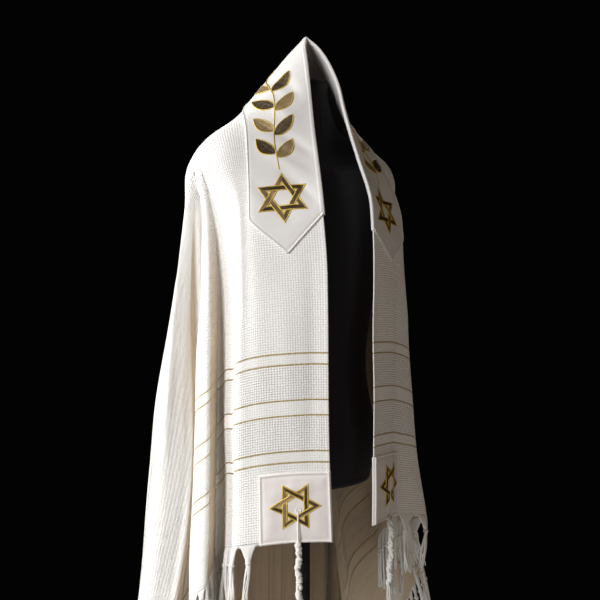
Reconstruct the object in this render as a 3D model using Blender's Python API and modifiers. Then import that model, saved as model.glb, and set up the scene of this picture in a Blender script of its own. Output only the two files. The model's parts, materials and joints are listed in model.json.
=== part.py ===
"""Tallit prayer shawl draped on a limbless dress form.

Metres, +Z up, the wearer faces -Y and the floor is Z = 0. The shawl is one woven
rectangle. A point of it has cloth coordinates s, along the neck edge from the middle of
the back of the neck, and t, across it from the neck edge towards the back hem.
"""

import math

import bmesh
import bpy
import numpy as np

# ---- Sizes -------------------------------------------------------------------------

CLOTH_LENGTH = 1.572  # along the neck edge, fringed hem to fringed hem
CLOTH_WIDTH = 1.10  # neck edge to back hem
CLOTH_WALL = 0.0015
TRIM_WALL = 0.0010  # neckband and patches
SEAM_GAP = 0.0005  # between neighbouring pieces

PATCH = 0.100
EYELET_INSET = 0.046  # from both edges of a corner
BAND_WIDTH = 0.105
# Half the length of the band's long edges, and how far each pointed end goes past them
BAND_CORNER = {"right": 0.316, "left": 0.346}
BAND_POINT = {"right": 0.057, "left": 0.044}

FRINGE_REACH = 0.075
FRINGE_WALL = CLOTH_WALL
FRINGE_GAP = 0.0012  # below the hem of the front
FOLDED_GAP = 0.0090  # what is added below the sloping hem of the folds
TRIM_GAP = 0.003  # from a patch to the fringe
TZITZIT_DIAMETER = 0.008
TZITZIT_LENGTH = 0.330

HALF_LENGTH = CLOTH_LENGTH / 2
SHOULDER_S = 0.165  # cloth coordinates of the shoulder point, where the folds start
SHOULDER_T = 0.175
RIDGE_BOW = 0.45  # how far the ridge bows in the cloth, between the neck and that point
CORNER_ANGLE = math.atan2(CLOTH_WIDTH - SHOULDER_T, HALF_LENGTH - SHOULDER_S)
FRINGE_ANGLE = math.atan2(CLOTH_WIDTH - PATCH - SHOULDER_T, HALF_LENGTH - SHOULDER_S)

# Height of the hem at the neck edge of each front and at the middle of the back, and the
# length over which the cloth rounds over its top
FRONT_HEM = {"right": 0.806, "left": 0.818}
BACK_HEM = 0.505
HEM_EASE = 2.5  # the front hem falls away towards the sides as this power of t
NECK_ROUNDING, NAPE_ROUNDING = 0.160, 0.100
SHOULDER_GAIN, SHOULDER_ROUNDING = 0.015, 0.040

# Ridge of the shoulders from the neck peak (0) to the shoulder point (1):
# share, out, back, height
RIDGE = {
    "right": (
        (0.00, 0.000, -0.005, 1.560),
        (0.17, 0.036, 0.000, 1.521),
        (0.38, 0.078, 0.003, 1.470),
        (0.60, 0.113, 0.004, 1.431),
        (0.74, 0.140, 0.006, 1.415),
        (0.90, 0.170, 0.010, 1.398),
        (1.00, 0.184, 0.012, 1.383),
    ),
    "left": (
        (0.00, 0.000, -0.005, 1.560),
        (0.17, 0.033, 0.000, 1.521),
        (0.38, 0.067, 0.004, 1.470),
        (0.60, 0.099, 0.006, 1.426),
        (0.74, 0.128, 0.007, 1.408),
        (0.90, 0.166, 0.010, 1.394),
        (1.00, 0.187, 0.012, 1.383),
    ),
}

# Lines that hang from the ridge down the front, each from its top to the hem:
# distance down the cloth, out, back
NECK_EDGE = (
    (0.000, 0.000, -0.005),
    (0.028, 0.014, -0.023),
    (0.066, 0.022, -0.042),
    (0.102, 0.027, -0.055),
    (0.140, 0.029, -0.064),
    (0.185, 0.033, -0.077),
    (0.227, 0.037, -0.091),
    (0.306, 0.044, -0.114),
    (0.407, 0.042, -0.123),
    (0.630, 0.041, -0.125),
    (0.786, 0.037, -0.128),
)
BAND_MIDDLE = {
    "right": (
        (0.000, 0.061, 0.002),
        (0.036, 0.068, -0.024),
        (0.087, 0.077, -0.045),
        (0.159, 0.083, -0.064),
        (0.216, 0.087, -0.077),
        (0.288, 0.089, -0.089),
        (0.433, 0.086, -0.095),
        (0.721, 0.082, -0.097),
    ),
    "left": (
        (0.000, 0.054, 0.003),
        (0.036, 0.053, -0.012),
        (0.087, 0.061, -0.034),
        (0.159, 0.077, -0.064),
        (0.216, 0.087, -0.081),
        (0.288, 0.094, -0.098),
        (0.433, 0.092, -0.102),
        (0.721, 0.088, -0.102),
    ),
}
BAND_EDGE = {
    "right": (
        (0.000, 0.113, 0.004),
        (0.030, 0.118, -0.018),
        (0.080, 0.125, -0.034),
        (0.140, 0.131, -0.048),
        (0.190, 0.133, -0.054),
        (0.300, 0.130, -0.061),
        (0.480, 0.128, -0.063),
        (0.648, 0.126, -0.065),
    ),
    "left": (
        (0.000, 0.099, 0.006),
        (0.030, 0.107, -0.008),
        (0.080, 0.122, -0.034),
        (0.140, 0.133, -0.061),
        (0.190, 0.139, -0.073),
        (0.300, 0.140, -0.077),
        (0.480, 0.137, -0.075),
        (0.648, 0.133, -0.071),
    ),
}
FRONT_FOLD = {
    "right": (
        (0.000, 0.152, 0.008),
        (0.030, 0.155, -0.012),
        (0.080, 0.151, -0.030),
        (0.150, 0.143, -0.045),
        (0.270, 0.143, -0.044),
        (0.460, 0.146, -0.040),
        (0.616, 0.147, -0.035),
    ),
    "left": (
        (0.000, 0.158, 0.009),
        (0.030, 0.162, -0.012),
        (0.100, 0.161, -0.034),
        (0.250, 0.168, -0.042),
        (0.490, 0.188, -0.050),
        (0.616, 0.204, -0.058),
    ),
}
FRONT_FOLD_T = {"right": 0.140, "left": 0.155}

# Folds that hang from the shoulder point, by their angle in the cloth from the front
# line: angle, then out and back at each of FOLD_REACHES down from the point
FOLD_REACHES = (0.0, 0.15, 0.45, 0.95)
SIDE_FOLDS = {
    "right": (
        ("front wall", 0, (0.146, -0.018), (0.130, -0.003), (0.132, 0.000)),
        ("front valley", 18, (0.147, 0.016), (0.131, 0.042), (0.136, 0.050)),
        ("second fold", 23, (0.164, 0.008), (0.158, 0.019), (0.172, 0.016)),
        ("second fold back", 29, (0.169, 0.020), (0.166, 0.050), (0.182, 0.055)),
        ("tucked pleat", 45, (0.150, 0.040), (0.110, 0.092), (0.150, 0.086)),
        ("outer fold front", 60, (0.177, 0.046), (0.150, 0.098), (0.212, 0.096)),
        ("outer fold", 71, (0.187, 0.057), (0.180, 0.112), (0.234, 0.130)),
        ("outer fold back", 81, (0.176, 0.073), (0.190, 0.148), (0.226, 0.180)),
        ("back wall", 90, (0.157, 0.087), (0.166, 0.168), (0.186, 0.200)),
    ),
    "left": (
        ("front wall", 0, (0.172, -0.012), (0.187, -0.022), (0.204, -0.030)),
        ("front valley", 18, (0.160, 0.006), (0.155, 0.010), (0.165, 0.004)),
        ("second fold", 30, (0.174, 0.014), (0.205, 0.022), (0.325, 0.014)),
        ("second fold back", 37, (0.176, 0.026), (0.199, 0.048), (0.308, 0.054)),
        ("tucked pleat", 48, (0.154, 0.042), (0.124, 0.092), (0.190, 0.090)),
        ("outer fold front", 62, (0.179, 0.048), (0.164, 0.100), (0.240, 0.106)),
        ("outer fold", 72, (0.188, 0.060), (0.190, 0.118), (0.262, 0.146)),
        ("outer fold back", 81, (0.178, 0.079), (0.193, 0.156), (0.240, 0.190)),
        ("back wall", 90, (0.160, 0.090), (0.170, 0.174), (0.190, 0.208)),
    ),
}

# Lines that hang down the back: distance down the cloth, out, back
NAPE_LINE = (
    (0.000, 0.000, -0.005),
    (0.065, 0.000, 0.050),
    (0.130, 0.000, 0.084),
    (0.205, 0.000, 0.109),
    (0.310, 0.000, 0.133),
    (0.460, 0.000, 0.150),
    (0.710, 0.000, 0.166),
    (1.100, 0.000, 0.180),
)
BLADE_LINE = (
    (0.000, 0.098, 0.004),
    (0.050, 0.100, 0.048),
    (0.110, 0.100, 0.090),
    (0.200, 0.098, 0.126),
    (0.350, 0.098, 0.155),
    (0.600, 0.100, 0.180),
    (1.010, 0.104, 0.206),
)
BLADE_S = 0.100  # cloth coordinate s of that line

# Dress form sections: height, half width, depth to the front, depth to the back
FORM_SECTIONS = (
    (0.868, 0.112, 0.088, 0.084),
    (0.930, 0.120, 0.096, 0.092),
    (1.050, 0.105, 0.081, 0.080),
    (1.160, 0.118, 0.095, 0.086),
    (1.240, 0.132, 0.100, 0.088),
    (1.300, 0.138, 0.092, 0.086),
    (1.340, 0.152, 0.0735, 0.075),
    (1.362, 0.1597, 0.0527, 0.0585),
    (1.385, 0.128, 0.042, 0.052),
    (1.408, 0.076, 0.043, 0.052),
    (1.432, 0.050, 0.042, 0.049),
    (1.470, 0.037, 0.037, 0.040),
)
NECK_FRONT, NECK_BACK = 1.484, 1.500  # heights of the slanted neck top
FORM_SIDES = 32
FORM_STEPS = 26
CAP_THICKNESS = 0.004

POLE_RADIUS = 0.0095
COLLAR_RADIUS, COLLAR_HEIGHT = 0.024, 0.030
BASE_RADIUS = 0.170
BASE_RIM, BASE_HEIGHT = 0.012, 0.026

RIDGE_FADE = 0.03  # how far down the ridge's own line is felt
NORMAL_STEP = 0.004
BAND_INSET = 0.003  # of the neckband, from the neck edge
BAND_LIFT = 0.0040
BAND_ROWS, BAND_BEHIND, BAND_BEFORE = 9, 6, 13
FRONT_LIFT, REAR_LIFT = 0.0009, 0.0009  # of the patches, from the cloth
# From the smooth form of each patch; the flats of the left front one lie under it
TZITZIT_GAP = {"front": {"right": 0.0004, "left": -0.0004}, "rear": {"right": 0.0004, "left": 0.0004}}

# How the grids of the stretches are spaced
FRONT_COLUMNS = (0.0, 0.034, 0.067, 0.100, 0.120, 0.140, 0.158, SHOULDER_T)
UPPER_SHARES = (0, 0.02, 0.05, 0.09, 0.14, 0.20, 0.28, 0.37, 0.48, 0.60, 0.73, 0.86, 1.0)
PATCH_SHARES = (0.5, 0.0)
KEPT_APART = math.radians(2)  # no column stands nearer to the corner's two
SIDE_START = 0.6  # of the way from the shoulder point to the first row
BACK_COLUMNS = (0.0, 0.025, 0.050, 0.075, 0.100, 0.123, 0.145, SHOULDER_S)

# Where each tzitzit hangs below its corner: share of its length, out, back
TZITZIT_SWAY = ((0.12, 0.001, 0.0), (0.4, -0.003, 0.001), (0.7, 0.004, 0.0), (1.0, 0.001, 0.0))
TZITZIT_POINTS = 18

COLLECTION = "tallit_on_dress_form"
SIDES = {"right": -1.0, "left": 1.0}  # the wearer's sides and their signs along X


# ---- Curves through tables -----------------------------------------------------------


def slopes(xs, ys):
    """Slopes of the monotone cubic through the points, zero at each turning point."""
    h = np.diff(xs).reshape(-1, *[1] * (ys.ndim - 1))
    d = np.diff(ys, axis=0) / h
    w1, w2 = 2 * h[1:] + h[:-1], h[1:] + 2 * h[:-1]
    same = d[:-1] * d[1:] > 0
    with np.errstate(divide="ignore", invalid="ignore"):
        mean = (w1 + w2) / (w1 / d[:-1] + w2 / d[1:])
    inner = np.where(same, mean, 0.0)
    return np.concatenate([d[:1], inner, d[-1:]])


def curve(x, xs, ys):
    """Value at x of the monotone cubic through (xs, ys); ys may differ at each x."""
    xs, x = np.asarray(xs, float), np.asarray(x, float)
    ys = np.asarray(ys, float)
    m = slopes(xs, ys)
    i = np.clip(np.searchsorted(xs, x, side="right") - 1, 0, len(xs) - 2)
    h = xs[i + 1] - xs[i]
    u = np.clip((x - xs[i]) / h, 0.0, 1.0)
    spread = ys.ndim > 1
    at = (lambda a, k: np.take_along_axis(a, k[None], 0)[0]) if spread else (lambda a, k: a[k])
    y0, y1, m0, m1 = at(ys, i), at(ys, i + 1), at(m, i) * h, at(m, i + 1) * h
    return (
        y0 * (1 + 2 * u) * (1 - u) ** 2
        + m0 * u * (1 - u) ** 2
        + y1 * u**2 * (3 - 2 * u)
        + m1 * u**2 * (u - 1)
    )


def column(table, k):
    """One column of a table."""
    return np.array([row[k] for row in table], float)


def table_curve(x, table, k):
    """Column k of a table, as a smooth function of its first column."""
    return curve(x, column(table, 0), column(table, k))


# ---- The cloth surface ----------------------------------------------------------------

FRONT_REACH = HALF_LENGTH - SHOULDER_S  # from the shoulder point's line to each hem
BACK_REACH = CLOTH_WIDTH - SHOULDER_T
FOLD_START = math.radians(SIDE_FOLDS["right"][1][1])
ANGLE_WIDTH = 0.003  # share of the girth that a degree of the side folds takes, m
SIDE_END = SHOULDER_T + 90 * ANGLE_WIDTH


def ridge_s(t):
    """Cloth coordinate s of the shoulder ridge at each t."""
    share = np.clip(t, 0, SHOULDER_T) / SHOULDER_T
    return SHOULDER_S * ((1 + RIDGE_BOW) * share - RIDGE_BOW * share**2)


def ridge_share(s):
    """Share of the ridge at each s, the other way round."""
    bow = 1 + RIDGE_BOW
    return (bow - np.sqrt(bow**2 - 4 * RIDGE_BOW * s / SHOULDER_S)) / (2 * RIDGE_BOW)


def hang_lines(side, reach):
    """Girth position, out and back of each hanging line, at a distance from its top.

    A front or back line is longer than the shoulder point's, so its distances are
    stretched to fit.
    """
    rows = []
    fronts = (NECK_EDGE, BAND_MIDDLE[side], BAND_EDGE[side], FRONT_FOLD[side])
    places = (0.0, BAND_WIDTH / 2, BAND_WIDTH, FRONT_FOLD_T[side])
    for at, line in zip(places, fronts):
        down = reach / FRONT_REACH * line[-1][0]
        rows.append((at, table_curve(down, line, 1), table_curve(down, line, 2)))
    point = RIDGE[side][-1][1:3]
    for _, angle, *places in SIDE_FOLDS[side]:
        out, behind = (
            curve(reach, FOLD_REACHES, [point[k], *(p[k] for p in places)]) for k in (0, 1)
        )
        rows.append((SHOULDER_T + angle * ANGLE_WIDTH, out, behind))
    for at, sign, line in (
        (SHOULDER_S - BLADE_S, 1, BLADE_LINE),
        (SHOULDER_S, 1, NAPE_LINE),
        (SHOULDER_S + BLADE_S, -1, BLADE_LINE),  # the other half, for an even middle
    ):
        down = reach / BACK_REACH * line[-1][0]
        rows.append((SIDE_END + at, sign * table_curve(down, line, 1), table_curve(down, line, 2)))
    return rows


def plan(side, girth, reach):
    """Out and back of the cloth: a smooth curve through the hanging lines."""
    rows = hang_lines(side, reach)
    at = [row[0] for row in rows]
    return [curve(girth, at, [row[k] for row in rows]) for k in (1, 2)]


def hung(side, share, down, full, girth, hem, rounding):
    """Points that hang this far down from the shoulder ridge at its share."""
    scale = np.where(girth < SIDE_END / 2, FRONT_REACH, BACK_REACH) / full
    out, behind = plan(side, girth, down * scale)
    top_out, top_behind = plan(side, girth, down * 0)
    ridge_out, ridge_behind, top = (table_curve(share, RIDGE[side], k) for k in (1, 2, 3))
    fade = np.exp(-((down / RIDGE_FADE) ** 2))
    out = out + fade * (ridge_out - top_out)
    behind = behind + fade * (ridge_behind - top_behind)
    gain = hem - top + full
    z = top - down + gain * (1 - np.exp(-down / rounding))
    return np.stack([SIDES[side] * out, behind, z], axis=-1)


def between(start, end, share):
    """A value part of the way from start to end."""
    return start + (end - start) * share


def shoulder_hem(side, reach):
    """Height of the hem straight below the shoulder point."""
    return RIDGE[side][-1][3] - reach + SHOULDER_GAIN


def front(side, s, t):
    """Front stretch, from the neck edge to the shoulder point's line."""
    t = np.clip(t, 0, SHOULDER_T)
    share, top_s = t / SHOULDER_T, ridge_s(t)
    hem = between(FRONT_HEM[side], shoulder_hem(side, FRONT_REACH), share**HEM_EASE)
    rounding = between(NECK_ROUNDING, SHOULDER_ROUNDING, share)
    down = np.maximum(s - top_s, 0)
    return hung(side, share, down, HALF_LENGTH - top_s, t, hem, rounding)


def back(side, s, t):
    """Half of the back stretch, from the nape to the shoulder point's line."""
    s = np.clip(s, 0, SHOULDER_S)
    share = ridge_share(s)
    top_t = SHOULDER_T * share
    hem = between(BACK_HEM, shoulder_hem(side, BACK_REACH), share)
    rounding = between(NAPE_ROUNDING, SHOULDER_ROUNDING, share)
    down = np.maximum(t - top_t, 0)
    girth = SIDE_END + SHOULDER_S - s
    return hung(side, share, down, CLOTH_WIDTH - top_t, girth, hem, rounding)


def drape(side, s, t):
    """Side stretch, whose folds all hang from the shoulder point."""
    ds, dt = s - SHOULDER_S, t - SHOULDER_T
    reach = np.hypot(ds, dt)
    angle = np.degrees(np.arctan2(dt, ds))
    out, behind = plan(side, SHOULDER_T + np.clip(angle, 0, 90) * ANGLE_WIDTH, reach)
    z = RIDGE[side][-1][3] - reach + SHOULDER_GAIN * (1 - np.exp(-reach / SHOULDER_ROUNDING))
    return np.stack([SIDES[side] * out, behind, z], axis=-1)


def cloth(side, s, t):
    """Points of one half of the shawl at cloth coordinates s and t."""
    s, t = np.broadcast_arrays(np.asarray(s, float), np.asarray(t, float))
    before = (t <= SHOULDER_T) & (s >= ridge_s(t))
    beside = (t > SHOULDER_T) & (s > SHOULDER_S)
    points = np.where(before[..., None], front(side, s, t), back(side, s, t))
    return np.where(beside[..., None], drape(side, s, t), points)


def outward(side, s, t):
    """Unit normals of the cloth, away from the form."""
    ahead = cloth(side, s + NORMAL_STEP, t) - cloth(side, s - NORMAL_STEP, t)
    across = cloth(side, s, t + NORMAL_STEP) - cloth(side, s, t - NORMAL_STEP)
    n = np.cross(ahead, across) * SIDES[side]
    return n / np.linalg.norm(n, axis=-1, keepdims=True)


# ---- Meshes --------------------------------------------------------------------------


def material(name, colour, roughness, metallic=0.0):
    """A plain finish."""
    m = bpy.data.materials.get(name) or bpy.data.materials.new(name)
    m.use_nodes = True
    shader = m.node_tree.nodes["Principled BSDF"]
    shader.inputs["Base Color"].default_value = (*colour, 1.0)
    shader.inputs["Roughness"].default_value = roughness
    shader.inputs["Metallic"].default_value = metallic
    return m


def add_object(name, data, finish):
    """A named object in the part's collection."""
    data.materials.append(finish)
    made = bpy.data.objects.new(name, data)
    bpy.data.collections[COLLECTION].objects.link(made)
    return made


def add_wall(name, near, far, finish):
    """A closed wall of cloth between two grids of points, the far one outside.

    Both grids come from the cloth's own normals, so that the rims of neighbouring
    stretches stay parallel across their seam. Both are split along the same diagonals,
    so that the wall keeps its thickness where it is twisted.
    """
    rows, columns = near.shape[:2]
    index = np.arange(rows * columns).reshape(rows, columns)
    loop = np.concatenate([index[0], index[1:, -1], index[-1, -2::-1], index[-2:0:-1, 0]])
    a, b, c, d = index[:-1, :-1], index[1:, :-1], index[1:, 1:], index[:-1, 1:]
    halves = np.stack([a, b, c, a, c, d], axis=-1).reshape(-1, 3)
    count = rows * columns
    following = np.roll(loop, -1)
    rim = np.stack([loop, following, following + count, loop + count], axis=-1)
    faces = [*halves.tolist(), *(halves[:, ::-1] + count).tolist(), *rim.tolist()]
    mesh = bpy.data.meshes.new(name)
    points = np.concatenate([near.reshape(-1, 3), far.reshape(-1, 3)])
    mesh.from_pydata(points.tolist(), [], faces)
    made = bmesh.new()
    made.from_mesh(mesh)
    if made.calc_volume(signed=True) < 0:
        bmesh.ops.reverse_faces(made, faces=made.faces)
    made.to_mesh(mesh)
    made.free()
    return add_object(name, mesh, finish)


def seamed(points, sides):
    """The grid with the named edges drawn back by half of the seam's gap."""
    points = points.copy()
    for side in sides:
        edge, inner = {
            "first row": (np.s_[0], np.s_[1]),
            "last row": (np.s_[-1], np.s_[-2]),
            "first column": (np.s_[:, 0], np.s_[:, 1]),
            "last column": (np.s_[:, -1], np.s_[:, -2]),
        }[side]
        way = points[inner] - points[edge]
        length = np.linalg.norm(way, axis=-1, keepdims=True)
        points[edge] += way / np.maximum(length, 1e-6) * SEAM_GAP / 2
    return points


def hem_rows(top_s):
    """Rows of cloth coordinate s, from the ridge to the hem, for each column's top."""
    upper = top_s + (HALF_LENGTH - PATCH - top_s) * np.array(UPPER_SHARES)[:, None]
    lower = HALF_LENGTH - PATCH * np.array(PATCH_SHARES)[:, None]
    return np.concatenate([upper, lower + 0 * top_s])


def add_front(side, finish):
    """One front of the shawl, from the neck edge to the wall of its first fold."""
    t = np.array(FRONT_COLUMNS)[None]
    s = hem_rows(ridge_s(t))
    points = seamed(cloth(side, s, t), ("first row", "last column"))
    inside = points - outward(side, s, t) * CLOTH_WALL
    for grid in (points, inside):  # the two fronts meet at the neck's peak
        out = np.maximum(grid[..., 0] * SIDES[side], SEAM_GAP / 2)
        grid[..., 0] = out * SIDES[side]
    add_wall(f"shawl_front_{side}", inside, points, finish)


def side_angles(side):
    """Angles of a side's columns: each fold, points between them, and the corner."""
    stops = [row[1] for row in SIDE_FOLDS[side]]
    angles = [np.linspace(a, b, 4)[:-1] for a, b in zip(stops[:-1], stops[1:])]
    angles = np.radians(np.concatenate([*angles, stops[-1:]]))
    kept = np.array([FRINGE_ANGLE, CORNER_ANGLE])
    clear = abs(angles[:, None] - kept).min(axis=1) > KEPT_APART
    return np.sort(np.concatenate([angles[clear], kept]))


def side_reach(angle):
    """From the shoulder point to the hem, at each angle."""
    to_front = FRONT_REACH / np.maximum(np.cos(angle), 1e-6)
    to_back = BACK_REACH / np.maximum(np.sin(angle), 1e-6)
    return np.minimum(to_front, to_back)


def side_shares():
    """The front's rows, as shares of the line from the shoulder point to the hem."""
    return (hem_rows(np.array([SHOULDER_S])) - SHOULDER_S) / FRONT_REACH


def add_side(side, finish):
    """One side of the shawl, which hangs in folds from the shoulder point."""
    angle = side_angles(side)[None]
    reach = side_reach(angle) * side_shares()
    s, t = SHOULDER_S + reach * np.cos(angle), SHOULDER_T + reach * np.sin(angle)
    points = drape(side, s, t)
    inside = points - outward(side, s, t) * CLOTH_WALL
    for grid in (points, inside):  # the point itself has no width, so the wall starts below
        grid[0] = between(grid[0], grid[1], SIDE_START)
    seamed_points = seamed(points, ("first column", "last column"))
    inside += seamed_points - points
    points = seamed_points
    add_wall(f"shawl_side_{side}", inside, points, finish)


def add_back(finish):
    """The back of the shawl, from shoulder to shoulder."""
    s = np.array(BACK_COLUMNS)[None]
    top = SHOULDER_T * ridge_share(s)
    t = between(top, CLOTH_WIDTH, side_shares())
    s = s + 0 * t
    halves = [back(side, s, t) for side in SIDES]
    normals = [outward(side, s, t) for side in SIDES]
    middle = normals[0][:, 0] + normals[1][:, 0]
    for grid in normals:  # the two halves share their middle line
        grid[:, 0] = middle / np.linalg.norm(middle, axis=-1, keepdims=True)
    points, normals = (
        np.concatenate([grid[0][:, ::-1], grid[1][:, 1:]], axis=1) for grid in (halves, normals)
    )
    points = seamed(points, ("first row", "first column", "last column"))
    add_wall("shawl_back", points - normals * CLOTH_WALL, points, finish)


def add_band(finish):
    """The neckband, over both fronts and the back of the neck, pointed at its ends."""
    t = between(BAND_INSET, BAND_WIDTH, np.linspace(0, 1, BAND_ROWS))[None]
    behind = ridge_s(t) * np.linspace(0, 1, BAND_BEHIND)[:, None]
    steps = np.linspace(0, 1, BAND_BEFORE)[1:, None]
    rows = {}
    for side in SIDES:
        end = BAND_CORNER[side] + BAND_POINT[side] * (1 - abs(2 * t / BAND_WIDTH - 1))
        rows[side] = np.concatenate([behind, between(ridge_s(t), end, steps)])
    grids = []
    for lift in (BAND_LIFT, BAND_LIFT + TRIM_WALL):
        halves = [cloth(side, s, t) + outward(side, s, t) * lift for side, s in rows.items()]
        middle = (halves[0][0] + halves[1][0]) / 2
        grids.append(np.concatenate([halves[1][:0:-1], middle[None], halves[0][1:]]))
    add_wall("atarah", *grids, finish)


def add_patch(side, place, s, t, lift, finish):
    """A square patch over one corner."""
    points, away = cloth(side, s, t), outward(side, s, t)
    near, far = (points + away * rise for rise in (lift, lift + TRIM_WALL))
    add_wall(f"corner_patch_{place}_{side}", near, far, finish)


def add_patches(finish):
    """The patches on all four corners."""
    steps = np.linspace(0, 1, 5)
    for side in SIDES:
        t = np.array([c for c in FRONT_COLUMNS if c <= PATCH])[None]
        s = HALF_LENGTH - PATCH * np.array((1.0, *PATCH_SHARES))[:, None]
        add_patch(side, "front", s, t, FRONT_LIFT, finish)
        s = HALF_LENGTH - PATCH * (1 - steps[:, None])
        t = CLOTH_WIDTH - PATCH * (1 - steps[None])
        add_patch(side, "rear", s, t, REAR_LIFT, finish)


def add_fringe(side, finish):
    """The reach of the knotted fringe under one short hem, between its patches."""
    t = np.array([PATCH + TRIM_GAP] + [c for c in FRONT_COLUMNS if PATCH < c < SHOULDER_T])
    angle = side_angles(side)
    angle = angle[angle <= FRINGE_ANGLE]
    drops = np.array([FRINGE_GAP, FRINGE_REACH / 2, FRINGE_REACH])[:, None]
    extra = FOLDED_GAP * np.minimum(angle / FOLD_START, 1) * np.array([1, 0, 0])[:, None]
    reach = side_reach(angle)[None] + drops + extra
    s = np.concatenate([HALF_LENGTH + drops + 0 * t, SHOULDER_S + reach * np.cos(angle)], 1)
    t = np.concatenate([0 * drops + t, SHOULDER_T + reach * np.sin(angle)], 1)
    far = cloth(side, s, t)
    add_wall(f"fringe_{side}", far - outward(side, s, t) * FRINGE_WALL, far, finish)


def tzitzit_route(side, place):
    """Points down the middle of one tzitzit, from its eyelet to its end."""
    s = HALF_LENGTH - EYELET_INSET
    t = EYELET_INSET if place == "front" else CLOTH_WIDTH - EYELET_INSET
    eyelet, edge = (cloth(side, k, t) for k in (s, HALF_LENGTH - 0.002))
    lift = FRONT_LIFT if place == "front" else REAR_LIFT
    rise = lift + TRIM_WALL + TZITZIT_DIAMETER / 2 + TZITZIT_GAP[place][side]
    start = eyelet + outward(side, s, t) * rise
    over = edge + outward(side, HALF_LENGTH, t) * rise
    route = [start, over]
    length = np.linalg.norm(over - start)
    for share, sway_x, sway_y in TZITZIT_SWAY:
        fall = share * (TZITZIT_LENGTH - length)
        drop = over - np.array([0, 0, fall]) + np.array([sway_x * SIDES[side], sway_y, 0])
        route.append(drop)
    route = np.array(route)
    along = np.r_[0, np.cumsum(np.linalg.norm(np.diff(route, axis=0), axis=1))]
    at = np.linspace(0, along[-1], TZITZIT_POINTS)
    return np.stack([curve(at, along, route[:, k]) for k in range(3)], axis=-1)


def add_tzitzit(side, place, finish):
    """One corner's tzitzit, as the round outer form of its windings and strands."""
    data = bpy.data.curves.new(f"tzitzit_{place}_{side}", "CURVE")
    data.dimensions = "3D"
    data.bevel_depth = TZITZIT_DIAMETER / 2
    data.bevel_resolution = 2
    data.use_fill_caps = True
    line = data.splines.new("POLY")
    route = tzitzit_route(side, place)
    line.points.add(len(route) - 1)
    line.points.foreach_set("co", np.c_[route, np.ones(len(route))].ravel())
    add_object(f"tzitzit_{place}_{side}", data, finish)


def add_rings(name, rings, finish, smooth=True):
    """A closed solid lofted through rings of points, from the bottom up."""
    mesh = bpy.data.meshes.new(name)
    bm = bmesh.new()
    loops = [[bm.verts.new(p) for p in ring] for ring in rings]
    count = len(loops[0])
    for lower, upper in zip(loops[:-1], loops[1:]):
        for i in range(count):
            j = (i + 1) % count
            bm.faces.new((lower[i], lower[j], upper[j], upper[i]))
    bm.faces.new(loops[0][::-1])
    bm.faces.new(loops[-1])
    bm.to_mesh(mesh)
    bm.free()
    if smooth:
        mesh.shade_smooth()
        mesh.set_sharp_from_angle(angle=math.radians(50))
    return add_object(name, mesh, finish)


def form_ring(z):
    """One ring of the dress form, as an ellipse with its own front and back depths."""
    half, ahead, behind = (table_curve(z, FORM_SECTIONS, k) for k in (1, 2, 3))
    turn = np.arange(FORM_SIDES) / FORM_SIDES * 2 * math.pi
    x, y = np.cos(turn) * half, np.sin(turn)
    return np.stack([x, y * np.where(y < 0, ahead, behind), x * 0 + z], axis=-1)


def slant(y, ring_half):
    """Height of the slanted neck top at each y."""
    return between(NECK_FRONT, NECK_BACK, (y / ring_half + 1) / 2)


def add_form(cover, trim):
    """The torso, whose neck is cut on a slant, and the cap on its neck."""
    shares = np.linspace(0, 1, FORM_STEPS)
    heights = table_curve(shares, [(k / (len(FORM_SECTIONS) - 1), row[0])
                                   for k, row in enumerate(FORM_SECTIONS)], 1)
    rings = [form_ring(z) for z in heights]
    neck = rings[-1].copy()
    neck[:, 2] = slant(neck[:, 1], FORM_SECTIONS[-1][2])
    rings.append(neck)
    add_rings("form_torso", rings, cover)
    low, high = neck.copy(), neck.copy()
    low[:, 2] += SEAM_GAP
    high[:, 2] += CAP_THICKNESS
    add_rings("form_neck_cap", [low, high], trim)


def add_turned(name, profile, finish):
    """A solid turned about the stand's axis, from its outer profile, top to bottom."""
    mesh = bpy.data.meshes.new(name)
    points = [(r, 0.0, z) for r, z in profile]
    mesh.from_pydata(points, [(k, k + 1) for k in range(len(points) - 1)], [])
    made = add_object(name, mesh, finish)
    screw = made.modifiers.new("Turn", "SCREW")
    screw.steps = screw.render_steps = 48
    screw.use_merge_vertices = True
    screw.merge_threshold = 0.0001
    screw.use_smooth_shade = False
    return made


def add_stand(finish, base_finish):
    """The pole under the torso, the collar that joins them, and the round base."""
    bottom = FORM_SECTIONS[0][0] - SEAM_GAP
    collar = bottom - COLLAR_HEIGHT
    add_turned(
        "stand_collar",
        [(0, bottom), (COLLAR_RADIUS, bottom), (COLLAR_RADIUS, collar + 0.006),
         (POLE_RADIUS + 0.004, collar), (0, collar)],
        finish,
    )
    add_turned(
        "stand_pole",
        [(0, collar - SEAM_GAP), (POLE_RADIUS, collar - SEAM_GAP),
         (POLE_RADIUS, BASE_HEIGHT + SEAM_GAP), (0, BASE_HEIGHT + SEAM_GAP)],
        finish,
    )
    add_turned(
        "stand_base",
        [(0, BASE_HEIGHT), (0.030, BASE_HEIGHT), (0.045, BASE_HEIGHT - 0.004),
         (BASE_RADIUS - 0.012, BASE_RIM + 0.004), (BASE_RADIUS - 0.003, BASE_RIM),
         (BASE_RADIUS, BASE_RIM - 0.004), (BASE_RADIUS, 0.002), (BASE_RADIUS - 0.002, 0), (0, 0)],
        base_finish,
    )


def clear_scene():
    """Remove what the file holds and make the part's collection."""
    for old in list(bpy.data.objects):
        bpy.data.objects.remove(old, do_unlink=True)
    collection = bpy.data.collections.new(COLLECTION)
    bpy.context.scene.collection.children.link(collection)


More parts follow.
